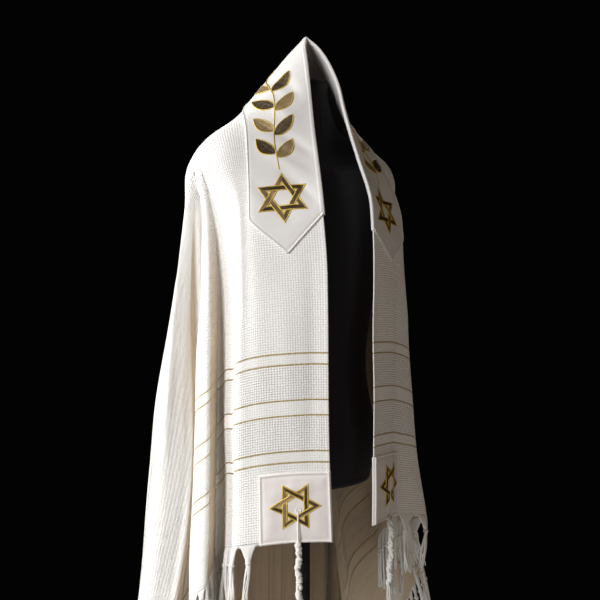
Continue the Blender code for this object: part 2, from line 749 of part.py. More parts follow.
def main():
    clear_scene()
    ivory = material("Ivory wool", (0.86, 0.84, 0.79), 0.85)
    white = material("Off-white band", (0.78, 0.75, 0.69), 0.7)
    blush = material("Patch satin", (0.84, 0.80, 0.77), 0.6)
    thread = material("White thread", (0.85, 0.83, 0.78), 0.8)
    black = material("Black jersey", (0.012, 0.012, 0.02), 0.85)
    steel = material("Black steel", (0.03, 0.03, 0.03), 0.4, 0.8)
    for side in SIDES:
        add_front(side, ivory)
        add_side(side, ivory)
        add_fringe(side, thread)
        for place in ("front", "rear"):
            add_tzitzit(side, place, thread)
    add_back(ivory)
    add_band(white)
    add_patches(blush)
    add_form(black, black)
    add_stand(steel, steel)


main()
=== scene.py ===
"""Tallit prayer shawl on a limbless dress form: cloth, embroidery, fringe, form and stand.

Metres, +Z up, the wearer faces -Y and the floor is Z = 0. The shawl is one woven
rectangle. A point of it has cloth coordinates s, along the neck edge from the middle of
the back of the neck, and t, across it from the neck edge towards the back hem.
"""

import functools
import json
import math

import bmesh
import bpy
import numpy as np
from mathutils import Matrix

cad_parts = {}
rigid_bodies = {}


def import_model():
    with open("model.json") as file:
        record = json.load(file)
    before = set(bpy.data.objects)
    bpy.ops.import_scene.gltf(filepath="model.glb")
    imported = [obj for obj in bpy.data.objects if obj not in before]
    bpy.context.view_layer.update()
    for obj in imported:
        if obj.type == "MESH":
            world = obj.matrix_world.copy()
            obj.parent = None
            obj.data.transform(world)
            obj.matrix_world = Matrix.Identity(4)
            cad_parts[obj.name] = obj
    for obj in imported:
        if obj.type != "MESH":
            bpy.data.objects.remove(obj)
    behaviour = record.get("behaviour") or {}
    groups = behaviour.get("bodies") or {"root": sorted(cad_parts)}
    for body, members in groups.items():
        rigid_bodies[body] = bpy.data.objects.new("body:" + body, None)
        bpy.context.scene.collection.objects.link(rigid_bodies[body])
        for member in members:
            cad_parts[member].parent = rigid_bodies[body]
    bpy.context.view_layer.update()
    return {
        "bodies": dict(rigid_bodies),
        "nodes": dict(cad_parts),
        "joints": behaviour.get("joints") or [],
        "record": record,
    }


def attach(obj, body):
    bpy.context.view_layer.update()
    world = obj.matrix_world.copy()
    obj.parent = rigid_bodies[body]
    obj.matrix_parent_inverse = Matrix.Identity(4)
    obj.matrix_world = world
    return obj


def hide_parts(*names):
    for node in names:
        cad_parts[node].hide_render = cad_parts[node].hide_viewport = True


bl_info = {
    "name": "Tallit on Dress Form",
    "version": (1, 0, 0),
    "blender": (4, 5, 0),
    "location": "3D View > Sidebar > Tallit",
    "description": "Builds a draped prayer shawl with its neckband, fringe and stand",
    "category": "Add Mesh",
}

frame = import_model()

TAU = 2 * math.pi


def mm(*rows):
    """Rows of millimetres, or of thousandths of a whole, as metres or shares."""
    return tuple(tuple(k / 1000 for k in row) for row in rows)


# ---- Sizes of the cloth, as it was cut and as it hangs --------------------------------

SIDES = {"right": -1.0, "left": 1.0}  # the wearer's sides and their signs along X
PLACES = ("front", "rear")
CLOTH_LENGTH = 1.572  # along the neck edge, fringed hem to fringed hem
CLOTH_WIDTH = 1.10  # neck edge to back hem
CLOTH_WALL, TRIM_WALL = 0.0015, 0.0010
SEAM_GAP = 0.0005  # between the pieces of the stand

PATCH = 0.100
EYELET_INSET = 0.046  # from both edges of a corner
BAND_WIDTH = 0.105
# Half the length of the band's long edges, and how far each pointed end goes past them
BAND_CORNER = {"right": 0.316, "left": 0.346}
BAND_POINT = {"right": 0.057, "left": 0.044}

HALF_LENGTH = CLOTH_LENGTH / 2
SHOULDER_S = 0.165  # cloth coordinates of the shoulder point, where the folds start
SHOULDER_T = 0.175
RIDGE_BOW = 0.45  # how far the ridge bows in the cloth, between the neck and that point
CORNER_ANGLE = math.atan2(CLOTH_WIDTH - SHOULDER_T, HALF_LENGTH - SHOULDER_S)

# Height of the hem at the neck edge of each front and at the middle of the back, and the
# length over which the cloth rounds over its top
FRONT_HEM = {"right": 0.806, "left": 0.818}
BACK_HEM = 0.505
HEM_EASE = 2.5  # the front hem falls away towards the sides as this power of t
NECK_ROUNDING, NAPE_ROUNDING = 0.160, 0.100
SHOULDER_GAIN, SHOULDER_ROUNDING = 0.015, 0.040

# Ridge of the shoulders from the neck peak to the shoulder point: share of the way, then
# out, back and height
RIDGE = {
    "right": mm(
        (0, 0, -5, 1560), (170, 36, 0, 1521), (380, 78, 3, 1470), (600, 113, 4, 1431),
        (740, 140, 6, 1415), (900, 170, 10, 1398), (1000, 184, 12, 1383),
    ),
    "left": mm(
        (0, 0, -5, 1560), (170, 33, 0, 1521), (380, 67, 4, 1470), (600, 99, 6, 1426),
        (740, 128, 7, 1408), (900, 166, 10, 1394), (1000, 187, 12, 1383),
    ),
}

# Lines that hang from the ridge down the front, each from its top to the hem:
# distance down the cloth, out, back
NECK_EDGE = mm(
    (0, 0, -5), (28, 14, -23), (66, 22, -42), (102, 27, -55), (140, 29, -64), (185, 33, -77),
    (227, 37, -91), (306, 44, -114), (407, 42, -123), (630, 41, -125), (786, 37, -128),
)
BAND_MIDDLE = {
    "right": mm(
        (0, 61, 2), (36, 68, -24), (87, 77, -45), (159, 83, -64), (216, 87, -77), (288, 89, -89),
        (433, 86, -95), (721, 82, -97),
    ),
    "left": mm(
        (0, 54, 3), (36, 53, -12), (87, 61, -34), (159, 77, -64), (216, 87, -81), (288, 94, -98),
        (433, 92, -102), (721, 88, -102),
    ),
}
BAND_EDGE = {
    "right": mm(
        (0, 113, 4), (30, 118, -18), (80, 125, -34), (140, 131, -48), (190, 133, -54),
        (300, 130, -61), (480, 128, -63), (648, 126, -65),
    ),
    "left": mm(
        (0, 99, 6), (30, 107, -8), (80, 122, -34), (140, 133, -61), (190, 139, -73),
        (300, 140, -77), (480, 137, -75), (648, 133, -71),
    ),
}
FRONT_FOLD = {
    "right": mm(
        (0, 152, 8), (30, 155, -12), (80, 151, -30), (150, 143, -45), (270, 143, -44),
        (460, 146, -40), (616, 147, -35),
    ),
    "left": mm(
        (0, 158, 9), (30, 162, -12), (100, 161, -34), (250, 168, -42), (490, 188, -50),
        (616, 204, -58),
    ),
}
FRONT_FOLD_T = {"right": 0.140, "left": 0.155}

# Folds that hang from the shoulder point: angle in the cloth from the front line (degrees),
# then out and back (mm) at each of FOLD_REACHES down from the point but the first. They
# are the front wall and its valley, the second fold and its back, the tucked pleat, the
# outer fold's front, ridge and back, and the back wall.
FOLD_REACHES = (0.0, 0.15, 0.45, 0.95)
SIDE_FOLDS = {
    "right": (
        (0, 146, -18, 130, -3, 132, 0), (18, 147, 16, 131, 42, 136, 50),
        (23, 164, 8, 158, 19, 172, 16), (29, 169, 20, 166, 50, 182, 55),
        (45, 150, 40, 110, 92, 150, 86), (60, 177, 46, 150, 98, 212, 96),
        (71, 187, 57, 180, 112, 234, 130), (81, 176, 73, 190, 148, 226, 180),
        (90, 157, 87, 166, 168, 186, 200),
    ),
    "left": (
        (0, 172, -12, 187, -22, 204, -30), (18, 160, 6, 155, 10, 165, 4),
        (30, 174, 14, 205, 22, 325, 14), (37, 176, 26, 199, 48, 308, 54),
        (48, 154, 42, 124, 92, 190, 90), (62, 179, 48, 164, 100, 240, 106),
        (72, 188, 60, 190, 118, 262, 146), (81, 178, 79, 193, 156, 240, 190),
        (90, 160, 90, 170, 174, 190, 208),
    ),
}

# Lines that hang down the back: distance down the cloth, out, back
NAPE_LINE = mm(
    (0, 0, -5), (65, 0, 50), (130, 0, 84), (205, 0, 109), (310, 0, 133), (460, 0, 150),
    (710, 0, 166), (1100, 0, 180),
)
BLADE_LINE = mm(
    (0, 98, 4), (50, 100, 48), (110, 100, 90), (200, 98, 126), (350, 98, 155), (600, 100, 180),
    (1010, 104, 206),
)
BLADE_S = 0.100  # cloth coordinate s of that line

# Dress form sections: height, half width, depth to the front, depth to the back
FORM_SECTIONS = mm(
    (868, 112, 88, 84), (930, 120, 96, 92), (1050, 105, 81, 80), (1160, 118, 95, 86),
    (1240, 132, 100, 88), (1300, 138, 92, 86), (1340, 152, 73.5, 75), (1362, 159.7, 52.7, 58.5),
    (1385, 128, 42, 52), (1408, 76, 43, 52), (1432, 50, 42, 49), (1470, 37, 37, 40),
)
NECK_FRONT, NECK_BACK = 1.484, 1.500  # heights of the slanted neck top
CAP_THICKNESS, CAP_GAP, CAP_ROUNDING = 0.004, 0.0005, 0.03  # the last as a share

POLE_RADIUS = 0.0095
COLLAR_RADIUS, COLLAR_HEIGHT, COLLAR_TAPER = 0.024, 0.030, 0.006
BASE_RADIUS, BASE_RIM, BASE_HEIGHT = 0.170, 0.012, 0.026

RIDGE_FADE = 0.03  # how far down the ridge's own line is felt
NORMAL_STEP = 0.004
MIDDLE = 1e-9  # s below this is the middle of the back

TZITZIT_DIAMETER, TZITZIT_LENGTH = 0.008, 0.330
PATCH_LIFT = 0.0009  # of the patches, from the cloth
# From the smooth form of each patch; the flats of the left front one lie under it
TZITZIT_GAP = {("front", "left"): -0.0004}
USUAL_GAP = 0.0004
# Where each tzitzit hangs below its corner: share of its length, out, back
TZITZIT_SWAY = mm((120, 1, 0), (400, -3, 1), (700, 4, 0), (1000, 1, 0))
TZITZIT_POINTS = 18


# ---- Curves -----------------------------------------------------------------------------


def between(start, end, share):
    """A value part of the way from start to end."""
    return start + (end - start) * share


def bell(off, width):
    """A bell curve: 1 at no distance, 1 / e at its width."""
    return np.exp(-((off / width) ** 2))


def unit(vectors):
    """Vectors scaled to a length of 1."""
    return vectors / np.linalg.norm(vectors, axis=-1, keepdims=True)


def run(path):
    """How far along a path each of its points is."""
    return np.r_[0, np.cumsum(np.linalg.norm(np.diff(path, axis=0), axis=1))]


def slopes(xs, ys):
    """Slopes of the monotone cubic through the points, zero at each turning point."""
    h = np.diff(xs).reshape(-1, *[1] * (ys.ndim - 1))
    d = np.diff(ys, axis=0) / h
    w1, w2 = 2 * h[1:] + h[:-1], h[1:] + 2 * h[:-1]
    with np.errstate(divide="ignore", invalid="ignore"):
        mean = (w1 + w2) / (w1 / d[:-1] + w2 / d[1:])
    return np.concatenate([d[:1], np.where(d[:-1] * d[1:] > 0, mean, 0.0), d[-1:]])


def curve(x, xs, ys):
    """Value at x of the monotone cubic through (xs, ys); ys may differ at each x."""
    xs, x, ys = (np.asarray(k, float) for k in (xs, x, ys))
    m = slopes(xs, ys)
    i = np.clip(np.searchsorted(xs, x, side="right") - 1, 0, len(xs) - 2)
    h = xs[i + 1] - xs[i]
    u = np.clip((x - xs[i]) / h, 0.0, 1.0)

    def at(a, k):
        """Row k of an array, or for each place its own row k there."""
        return np.take_along_axis(a, k[None], 0)[0] if ys.ndim > 1 else a[k]

    return (at(ys, i) * (1 + 2 * u) * (1 - u) ** 2 + at(m, i) * h * u * (1 - u) ** 2
            + at(ys, i + 1) * u**2 * (3 - 2 * u) + at(m, i + 1) * h * u**2 * (u - 1))


def table_curve(x, table, k):
    """Column k of a table, as a smooth function of its first column."""
    table = np.array(table, float)
    return curve(x, table[:, 0], table[:, k])


# ---- The cloth surface ----------------------------------------------------------------

FRONT_REACH = HALF_LENGTH - SHOULDER_S  # from the shoulder point's line to each hem
BACK_REACH = CLOTH_WIDTH - SHOULDER_T
ANGLE_WIDTH = 0.003  # share of the girth that a degree of the side folds takes, m
SIDE_END = SHOULDER_T + 90 * ANGLE_WIDTH


def ridge_s(t):
    """Cloth coordinate s of the shoulder ridge at each t."""
    share = np.clip(t, 0, SHOULDER_T) / SHOULDER_T
    return SHOULDER_S * ((1 + RIDGE_BOW) * share - RIDGE_BOW * share**2)


def ridge_share(s):
    """Share of the ridge at each s, the other way round."""
    bow = 1 + RIDGE_BOW
    return (bow - np.sqrt(bow**2 - 4 * RIDGE_BOW * s / SHOULDER_S)) / (2 * RIDGE_BOW)


def hang_lines(side, reach):
    """Girth position, out and back of each hanging line, at a distance from its top.

    A front or back line is longer than the shoulder point's, so its distances are
    stretched to fit. The last line is the other half's, for an even middle.
    """
    ahead, behind = (
        [(0.0, 1, NECK_EDGE), (BAND_WIDTH / 2, 1, BAND_MIDDLE[side]),
         (BAND_WIDTH, 1, BAND_EDGE[side]), (FRONT_FOLD_T[side], 1, FRONT_FOLD[side])],
        [(SIDE_END + SHOULDER_S - BLADE_S, 1, BLADE_LINE), (SIDE_END + SHOULDER_S, 1, NAPE_LINE),
         (SIDE_END + SHOULDER_S + BLADE_S, -1, BLADE_LINE)])
    ahead, behind = (
        [(at, sign * table_curve(reach / full * line[-1][0], line, 1),
          table_curve(reach / full * line[-1][0], line, 2)) for at, sign, line in lines]
        for lines, full in ((ahead, FRONT_REACH), (behind, BACK_REACH)))
    point = RIDGE[side][-1][1:3]
    folds = [(SHOULDER_T + angle * ANGLE_WIDTH,
              *(curve(reach, FOLD_REACHES, [point[k], *(p / 1000 for p in places[k::2])])
                for k in (0, 1))) for angle, *places in SIDE_FOLDS[side]]
    return ahead + folds + behind


def plan(side, girth, reach):
    """Out and back of the cloth: a smooth curve through the hanging lines."""
    at, out, behind = zip(*hang_lines(side, reach))
    return curve(girth, at, out), curve(girth, at, behind)


def hung(side, share, down, full, girth, hem, rounding):
    """Points that hang this far down from the shoulder ridge at its share."""
    scale = np.where(girth < SIDE_END / 2, FRONT_REACH, BACK_REACH) / full
    ridge = [table_curve(share, RIDGE[side], k) for k in (1, 2, 3)]
    fade = bell(down, RIDGE_FADE)
    out, behind = (now + fade * (ridge[k] - top) for k, (now, top) in enumerate(
        zip(plan(side, girth, down * scale), plan(side, girth, down * 0))))
    z = ridge[2] - down + (hem - ridge[2] + full) * (1 - np.exp(-down / rounding))
    return np.stack([SIDES[side] * out, behind, z], axis=-1)


def shoulder_hem(side, reach):
    """Height of the hem straight below the shoulder point."""
    return RIDGE[side][-1][3] - reach + SHOULDER_GAIN


def front(side, s, t):
    """Front stretch, from the neck edge to the shoulder point's line."""
    t = np.clip(t, 0, SHOULDER_T)
    share, top_s = t / SHOULDER_T, ridge_s(t)
    hem = between(FRONT_HEM[side], shoulder_hem(side, FRONT_REACH), share**HEM_EASE)
    rounding = between(NECK_ROUNDING, SHOULDER_ROUNDING, share)
    down = np.maximum(s - top_s, 0)
    return hung(side, share, down, HALF_LENGTH - top_s, t, hem, rounding)


def back(side, s, t):
    """Half of the back stretch, from the nape to the shoulder point's line."""
    s = np.clip(s, 0, SHOULDER_S)
    share = ridge_share(s)
    top_t = SHOULDER_T * share
    hem = between(BACK_HEM, shoulder_hem(side, BACK_REACH), share)
    rounding = between(NAPE_ROUNDING, SHOULDER_ROUNDING, share)
    down = np.maximum(t - top_t, 0)
    return hung(side, share, down, CLOTH_WIDTH - top_t, SIDE_END + SHOULDER_S - s, hem, rounding)


def drape(side, s, t):
    """Side stretch, whose folds all hang from the shoulder point."""
    ds, dt = s - SHOULDER_S, t - SHOULDER_T
    reach = np.hypot(ds, dt)
    angle = np.clip(np.degrees(np.arctan2(dt, ds)), 0, 90)
    out, behind = plan(side, SHOULDER_T + angle * ANGLE_WIDTH, reach)
    z = RIDGE[side][-1][3] - reach + SHOULDER_GAIN * (1 - np.exp(-reach / SHOULDER_ROUNDING))
    return np.stack([SIDES[side] * out, behind, z], axis=-1)


def unsoftened(side, s, t):
    """Points of one half of the shawl, before the shoulder point is softened."""
    before = (t <= SHOULDER_T) & (s >= ridge_s(t))
    beside = (t > SHOULDER_T) & (s > SHOULDER_S)
    points = np.empty(s.shape + (3,))
    for where, stretch in ((before, front), (beside, drape), (~before & ~beside, back)):
        if where.any():
            points[where] = stretch(side, s[where], t[where])
    return points


# The shoulder is softened this far from its point, over this spread, on a grid this fine
SOFT_REACH, SOFT_SPREAD, SOFT_STEP = 0.25, 0.015, 0.003
SOFT_SHIFT = round(3 * SOFT_SPREAD / SOFT_STEP)
SOFT_MIDDLE = int((SOFT_REACH + 3 * SOFT_SPREAD) / SOFT_STEP) + 2


@functools.lru_cache
def softened(side):
    """A grid of cloth round the shoulder point, each place a bell-weighted mean of its own."""
    off = np.arange(-SOFT_MIDDLE, SOFT_MIDDLE + 1) * SOFT_STEP
    grid = unsoftened(side, *np.broadcast_arrays(SHOULDER_S + off[:, None], SHOULDER_T + off))
    shifts = np.arange(-SOFT_SHIFT, SOFT_SHIFT + 1)
    weights = np.exp(-((shifts * SOFT_STEP / SOFT_SPREAD) ** 2) / 2)
    for axis in (0, 1):
        grid = sum(w * np.roll(grid, k, axis) for w, k in zip(weights / weights.sum(), shifts))
    return grid


def looked_up(grid, s, t):
    """Value of the softened grid at s and t, as a cubic through the four nearest each way."""
    at, weights = [], []
    for off in (s - SHOULDER_S, t - SHOULDER_T):
        u = off / SOFT_STEP + SOFT_MIDDLE
        k = np.floor(u).astype(int)
        f = u - k
        at.append(k)
        weights.append((-f / 2 + f**2 - f**3 / 2, 1 - 2.5 * f**2 + 1.5 * f**3,
                        f / 2 + 2 * f**2 - 1.5 * f**3, -(f**2) / 2 + f**3 / 2))
    return sum((weights[0][i] * weights[1][j])[:, None] * grid[at[0] + i - 1, at[1] + j - 1]
               for i in range(4) for j in range(4))


def cloth(side, s, t):
    """Points of one half of the shawl at cloth coordinates s and t.

    Near the shoulder point they pass smoothly into the softened grid.
    """
    s, t = np.broadcast_arrays(np.asarray(s, float), np.asarray(t, float))
    points = unsoftened(side, s, t)
    share = np.hypot(s - SHOULDER_S, t - SHOULDER_T) / SOFT_REACH
    near = share < 1
    if near.any():
        share = (share[near] ** 2 * (3 - 2 * share[near]))[:, None]
        points[near] = between(looked_up(softened(side), s[near], t[near]), points[near], share)
    return points


def outward(side, s, t):
    """Unit normals: the cross product of the surface's two slopes, turned outwards.

    In the middle of the back the slope along s is straight out, so that both halves agree.
    """
    ahead = cloth(side, s + NORMAL_STEP, t) - cloth(side, s - NORMAL_STEP, t)
    across = cloth(side, s, t + NORMAL_STEP) - cloth(side, s, t - NORMAL_STEP)
    middle = (np.asarray(s) < MIDDLE)[..., None]
    ahead = np.where(middle, np.array([SIDES[side], 0.0, 0.0]), ahead)
    return unit(np.cross(ahead, across) * SIDES[side])


# ---- Fine form of the cloth ------------------------------------------------------------

# Soft creases in cloth coordinates, the wearer's right at negative s: both ends as s, t,
# then height out of the cloth, half width and bow. They lie on the right front, the left
# front, the right drape, the left drape, the back and over the shoulder blades.
CREASES = mm(
    (-360, 22, -700, 30, -2.2, 10, 4), (-400, 60, -660, 52, 1.4, 14, -3),
    (-300, 118, -600, 125, -1.6, 12, 2), (-200, 140, -360, 112, -1.6, 18, 6),
    (-165, 80, -228, 0, -3, 8, 4), (-190, 88, -262, 6, 2.2, 9, -4),
    (-245, 60, -300, 4, -2.2, 7, 3), (-255, 100, -330, 40, -1.6, 8, 4),
    (-60, 60, -135, 14, -2.4, 10, 4), (-100, 74, -170, 22, 1.8, 10, -3),
    (380, 20, 740, 14, -2.6, 10, -3), (360, 72, 720, 80, -3, 13, 4),
    (300, 112, 660, 120, 2.2, 12, 3), (200, 138, 340, 112, -1.8, 18, 5),
    (130, 140, 460, 145, -6, 32, 0), (180, 70, 262, 8, -3, 8, 4), (212, 88, 290, 20, 2.4, 9, -4),
    (262, 66, 352, 26, -1.8, 8, 3), (110, 60, 180, 10, -2.2, 9, 3),
    (-260, 300, -520, 860, -6, 26, 12), (-240, 360, -380, 980, 5, 24, -10),
    (-300, 240, -620, 500, -4, 16, 6), (-220, 400, -280, 1000, -5.5, 26, 8),
    (-320, 420, -600, 980, 4.5, 22, 10), (-400, 300, -700, 560, 3.5, 16, -6),
    (260, 310, 500, 880, -5.5, 26, -10), (240, 370, 360, 990, 4.8, 24, 10),
    (310, 250, 630, 520, -4.2, 17, -6), (210, 410, 270, 1010, -5, 25, -8),
    (330, 430, 610, 970, 4.8, 22, -10), (420, 310, 710, 570, 3.2, 16, 6),
    (-100, 160, -120, 980, 5, 18, 6), (-55, 200, -50, 1060, -6, 20, -5),
    (0, 260, 12, 1040, 4.5, 17, 4), (52, 180, 60, 1020, -5.5, 19, 6),
    (105, 170, 118, 1000, 4.8, 18, -5), (-145, 220, -165, 950, -4, 14, 4),
    (148, 230, 168, 930, -4.2, 14, -4), (-20, 110, -130, 240, -3, 12, 8),
    (20, 110, 140, 250, -2.8, 12, -8),
)

# Swells of the whole cloth: waves along s and t (radians a metre), start, height (m)
SWELLS = ((23, 9, 0.4, 0.0008), (-17, 14, 1.9, 0.0007), (41, -6, 2.7, 0.0004),
          (9, 37, 0.9, 0.0004))
SWELL_START, SWELL_RANGE = 0.12, 0.2  # from the middle of the neck
SELVEDGE, SELVEDGE_HEIGHT = 0.0025, 0.0007  # the bead of the hemmed neck edge

# Pleats that fan out from the shoulder points: angle and half width in the cloth (degrees),
# depth at FAN_REACH
FANS = {
    "right": ((13, 5.0, 0.012), (26, 3.0, -0.005), (38, 2.4, 0.014), (49, 1.9, 0.026),
              (55, 1.7, 0.024), (66, 4.0, 0.004), (76, 3.0, 0.006), (86, 1.6, 0.028)),
    "left": ((9, 2.4, 0.007), (24, 2.2, 0.012), (42, 2.2, 0.014), (51.5, 1.9, 0.026),
             (57, 1.7, 0.024), (67, 2.2, 0.012), (77, 2.4, 0.012), (86, 1.6, 0.028)),
}
FAN_START, FAN_REACH = 0.10, 0.90
# Pleats down the back: s, half width, depth at the hem
BACK_PLEATS = mm((-152, 8.5, 30), (-123, 11, 20), (-90, 9, 31), (-52, 12, 18), (8, 15, 20),
                 (49, 9, 28), (86, 11, 19), (116, 8.5, 31), (150, 10, 26))
PLEAT_START = 0.20  # t where the back's pleats begin
EASE = 0.8  # pleats deepen, and creases taper, by this power
# The cloth bellies out round the shoulder point: height, distance and width
POINT_SWELL, POINT_AWAY, POINT_WIDTH = 0.009, 0.055, 0.035


def relief(side, s, t):
    """Height of the fine form over the surface.

    Each crease is a bell curve across its bowed line, times a power of a half sine along
    it. Pleats are bell-shaped troughs that deepen on the way down. The swells are plain
    waves, and the neck edge has a bead.
    """
    signed = s * SIDES[side]
    total = SELVEDGE_HEIGHT * bell(t - SELVEDGE, SELVEDGE) + 0 * s
    for s0, t0, s1, t1, height, width, bow in CREASES:
        length = math.hypot(s1 - s0, t1 - t0)
        ds, dt = (s1 - s0) / length, (t1 - t0) / length
        along = ((signed - s0) * ds + (t - t0) * dt) / length
        taper = np.sin(math.pi * np.clip(along, 0, 1))
        off = (t - t0) * ds - (signed - s0) * dt - bow * taper
        total = total + height * taper**EASE * bell(off, width)
    reach = np.hypot(s - SHOULDER_S, t - SHOULDER_T)
    angle = np.degrees(np.arctan2(np.maximum(t - SHOULDER_T, 0), s - SHOULDER_S))
    fanned = np.clip((reach - FAN_START) / (FAN_REACH - FAN_START), 0, 1) ** EASE
    pleated = np.clip((t - PLEAT_START) / (CLOTH_WIDTH - PLEAT_START), 0, 1) ** EASE
    for pleats, place, grown in ((FANS[side], angle, fanned * (t > SHOULDER_T)),
                                 (BACK_PLEATS, signed, pleated)):
        for at, width, depth in pleats:
            total = total - depth * grown * bell(place - at, width)
    facing_out = (s - SHOULDER_S + t - SHOULDER_T) / np.maximum(reach * math.sqrt(2), 1e-6)
    total = total + POINT_SWELL * bell(reach - POINT_AWAY, POINT_WIDTH) * (1 + facing_out) / 2
    hang = np.clip((np.hypot(s, t) - SWELL_START) / SWELL_RANGE, 0, 1)
    for wave_s, wave_t, start, height in SWELLS:
        total = total + height * hang * np.sin(wave_s * signed + wave_t * t + start)
    return total


EDGE_SLOPE = 0.004  # the neck edge's slope is taken over this width


def laid(side, s, t, lift=0.0):
    """Points at a height above the cloth's fine form; t below 0 runs on past the neck edge."""
    s, t = np.broadcast_arrays(np.asarray(s, float), np.asarray(t, float))
    inside = np.maximum(t, 0.0)
    height = relief(side, s, inside) + lift
    edge = cloth(side, s, inside)
    beyond = np.minimum(t, 0.0)[..., None] / EDGE_SLOPE
    return (edge + outward(side, s, inside) * height[..., None]
            + beyond * (cloth(side, s, inside + EDGE_SLOPE) - edge))


# ---- Meshes ---------------------------------------------------------------------------

WELD = 2e-6  # points nearer than this are joined


def add_piece(name, grids, finish, wall=0.0):
    """A smooth mesh from grids of points, each with a matching grid of u, v, edge and painted
    sheen.

    Neighbouring points of a grid make a quad, and grids are joined where they meet. u and v
    become the piece's UV map, edge and painted sheen two values of each point; the painted
    sheen lightens the embroidery's fill as painted light.
    """
    points, values, faces, start = [], [], [], 0
    for place, value in grids:
        k = np.arange(place[..., 0].size).reshape(place.shape[:2]) + start
        quads = np.stack([k[:-1, :-1], k[1:, :-1], k[1:, 1:], k[:-1, 1:]], -1)
        faces.append(quads.reshape(-1, 4))
        points.append(place.reshape(-1, 3))
        values.append(value.reshape(-1, 4))
        start += k.size
    points, values, faces = (np.concatenate(part) for part in (points, values, faces))
    mesh = bpy.data.meshes.new(name)
    mesh.from_pydata(points.tolist(), [], faces.tolist())
    mesh.uv_layers.new(name="cloth").data.foreach_set("uv", values[faces, :2].ravel())
    for k, kind in ((2, "edge"), (3, "painted_sheen")):
        layer = mesh.attributes.new(kind, "FLOAT", "POINT")
        layer.data.foreach_set("value", values[:, k].copy())
    welded = bmesh.new()
    welded.from_mesh(mesh)
    bmesh.ops.remove_doubles(welded, verts=welded.verts, dist=WELD)
    welded.to_mesh(mesh)
    welded.free()
    mesh.shade_smooth()
    mesh.materials.append(finish)
    piece = bpy.data.objects.new(name, mesh)
    bpy.context.scene.collection.objects.link(piece)
    if wall:
        solid = piece.modifiers.new("Wall", "SOLIDIFY")
        solid.thickness = wall
        solid.offset = -1.0
    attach(piece, "root")
    return piece


def values_of(u, v, edge=0.0, painted_sheen=0.0):
    """Stack the values that go with a grid of points."""
    return np.stack(np.broadcast_arrays(u, v, edge, painted_sheen), -1)


def turned_out(place, value, side):
    """A grid made for the wearer's left; for the right its columns are turned round."""
    return (place, value) if side == "left" else (place[:, ::-1], value[:, ::-1])


def facing(place, value, away):
    """A grid whose columns are turned round if its faces point against a direction.

    The direction is one vector, or one for each point.
    """
    down, over = np.diff(place, axis=0)[:, :-1], np.diff(place, axis=1)[:-1]
    away = np.broadcast_to(away, place.shape)[:-1, :-1]
    outside = (np.cross(down, over) * away).sum() >= 0
    return (place, value) if outside else (place[:, ::-1], value[:, ::-1])


def frames(path):
    """Two unit vectors across a path at each point, the first as near X as can be."""
    way = unit(np.gradient(path, axis=0))
    across = unit(np.cross(np.array([0.0, 1.0, 0.0]), way))
    return across, np.cross(across, way)


def around(frame, turn, radius=1.0):
    """Points round a path: radius times (cos turn across + sin turn lift)."""
    across, lift = (np.expand_dims(k, tuple(range(1, np.ndim(turn)))) for k in frame)
    return across * (np.cos(turn) * radius)[..., None] + lift * (np.sin(turn) * radius)[..., None]


def tube(path, radius, sides):
    """A round profile carried along a path, with its ends drawn together.

    The last column repeats the first, so that the seam closes.
    """
    share = np.linspace(0, 1, sides + 1)[None] + 0 * path[:, :1]
    place = path[:, None] + around(frames(path), share * TAU, np.reshape(radius, (-1, 1)))
    first, last = path[:1, None] + 0 * place[:1], path[-1:, None] + 0 * place[-1:]
    value = values_of(run(path)[:, None], share)
    return (np.concatenate([first, place, last]),
            np.concatenate([value[:1], value, value[-1:]]))


def turned(profile, sides=96):
    """A profile of (radius, height), from top to bottom, turned about the stand's axis."""
    r, z = profile.T[:, :, None]
    share = np.linspace(0, 1, sides + 1)[None]
    place = np.stack([r * np.cos(share * TAU), r * np.sin(share * TAU), z + 0 * share], -1)
    return place, values_of(run(profile)[:, None], share)


def rounded(profile, radius, steps=6):
    """A profile whose inner corners are rounded, each by a short curve of two straight blends."""
    profile = np.array(profile, float)
    share = np.linspace(0, 1, steps)[:, None]
    made = [profile[0]]
    for before, corner, after in zip(profile[:-2], profile[1:-1], profile[2:]):
        start, end = (corner + (other - corner) * min(radius / math.dist(corner, other), 0.45)
                      for other in (before, after))
        made.extend(between(between(start, corner, share), between(corner, end, share), share))
    return np.array([*made, profile[-1]])


# ---- The shawl ------------------------------------------------------------------------

FRONT_T = np.r_[0, 0.0012, 0.0025, 0.004, 0.006, np.linspace(0.009, SHOULDER_T, 46)]
ROWS = np.linspace(0, 1, 103) ** 1.1  # shares of each hanging line, closer at the top
SIDE_COLUMNS = 141


def shawl_grids(side):
    """Front, side and half back, whose rows are the same shares of their hanging lines.

    The side's columns are at even angles, one of them at the cloth's own corner, and each
    reaches from the shoulder point to the nearer of the two hems.
    """
    share, columns = ROWS[:, None], FRONT_T[None]
    back_t = columns[:, ::-1]
    angle = np.linspace(0, math.pi / 2, SIDE_COLUMNS)[None]
    angle[0, np.argmin(abs(angle - CORNER_ANGLE))] = CORNER_ANGLE
    to_front, to_back = (reach / np.maximum(k, 1e-6) for reach, k in (
        (FRONT_REACH, np.cos(angle)), (BACK_REACH, np.sin(angle))))
    reach = np.minimum(to_front, to_back) * share
    made = []
    for s, t in (
        (between(ridge_s(columns), HALF_LENGTH, share), columns + 0 * share),
        (SHOULDER_S + reach * np.cos(angle), SHOULDER_T + reach * np.sin(angle)),
        (ridge_s(back_t) + 0 * share, between(back_t, CLOTH_WIDTH, share)),
    ):
        place = laid(side, s, t)
        place[..., 0][s < MIDDLE] = 0.0  # the halves meet in the middle of the back
        made.append(turned_out(place, values_of(s * SIDES[side], t), side))
    return made


# ---- The neckband ---------------------------------------------------------------------

EDGE_RISE = 0.0012  # how far in from its edge a sewn piece reaches its height
BAND_GAP, BAND_THICKNESS = 0.0004, 0.0016
BAND_FACING = 0.030  # how far it goes down the inside of the neck edge
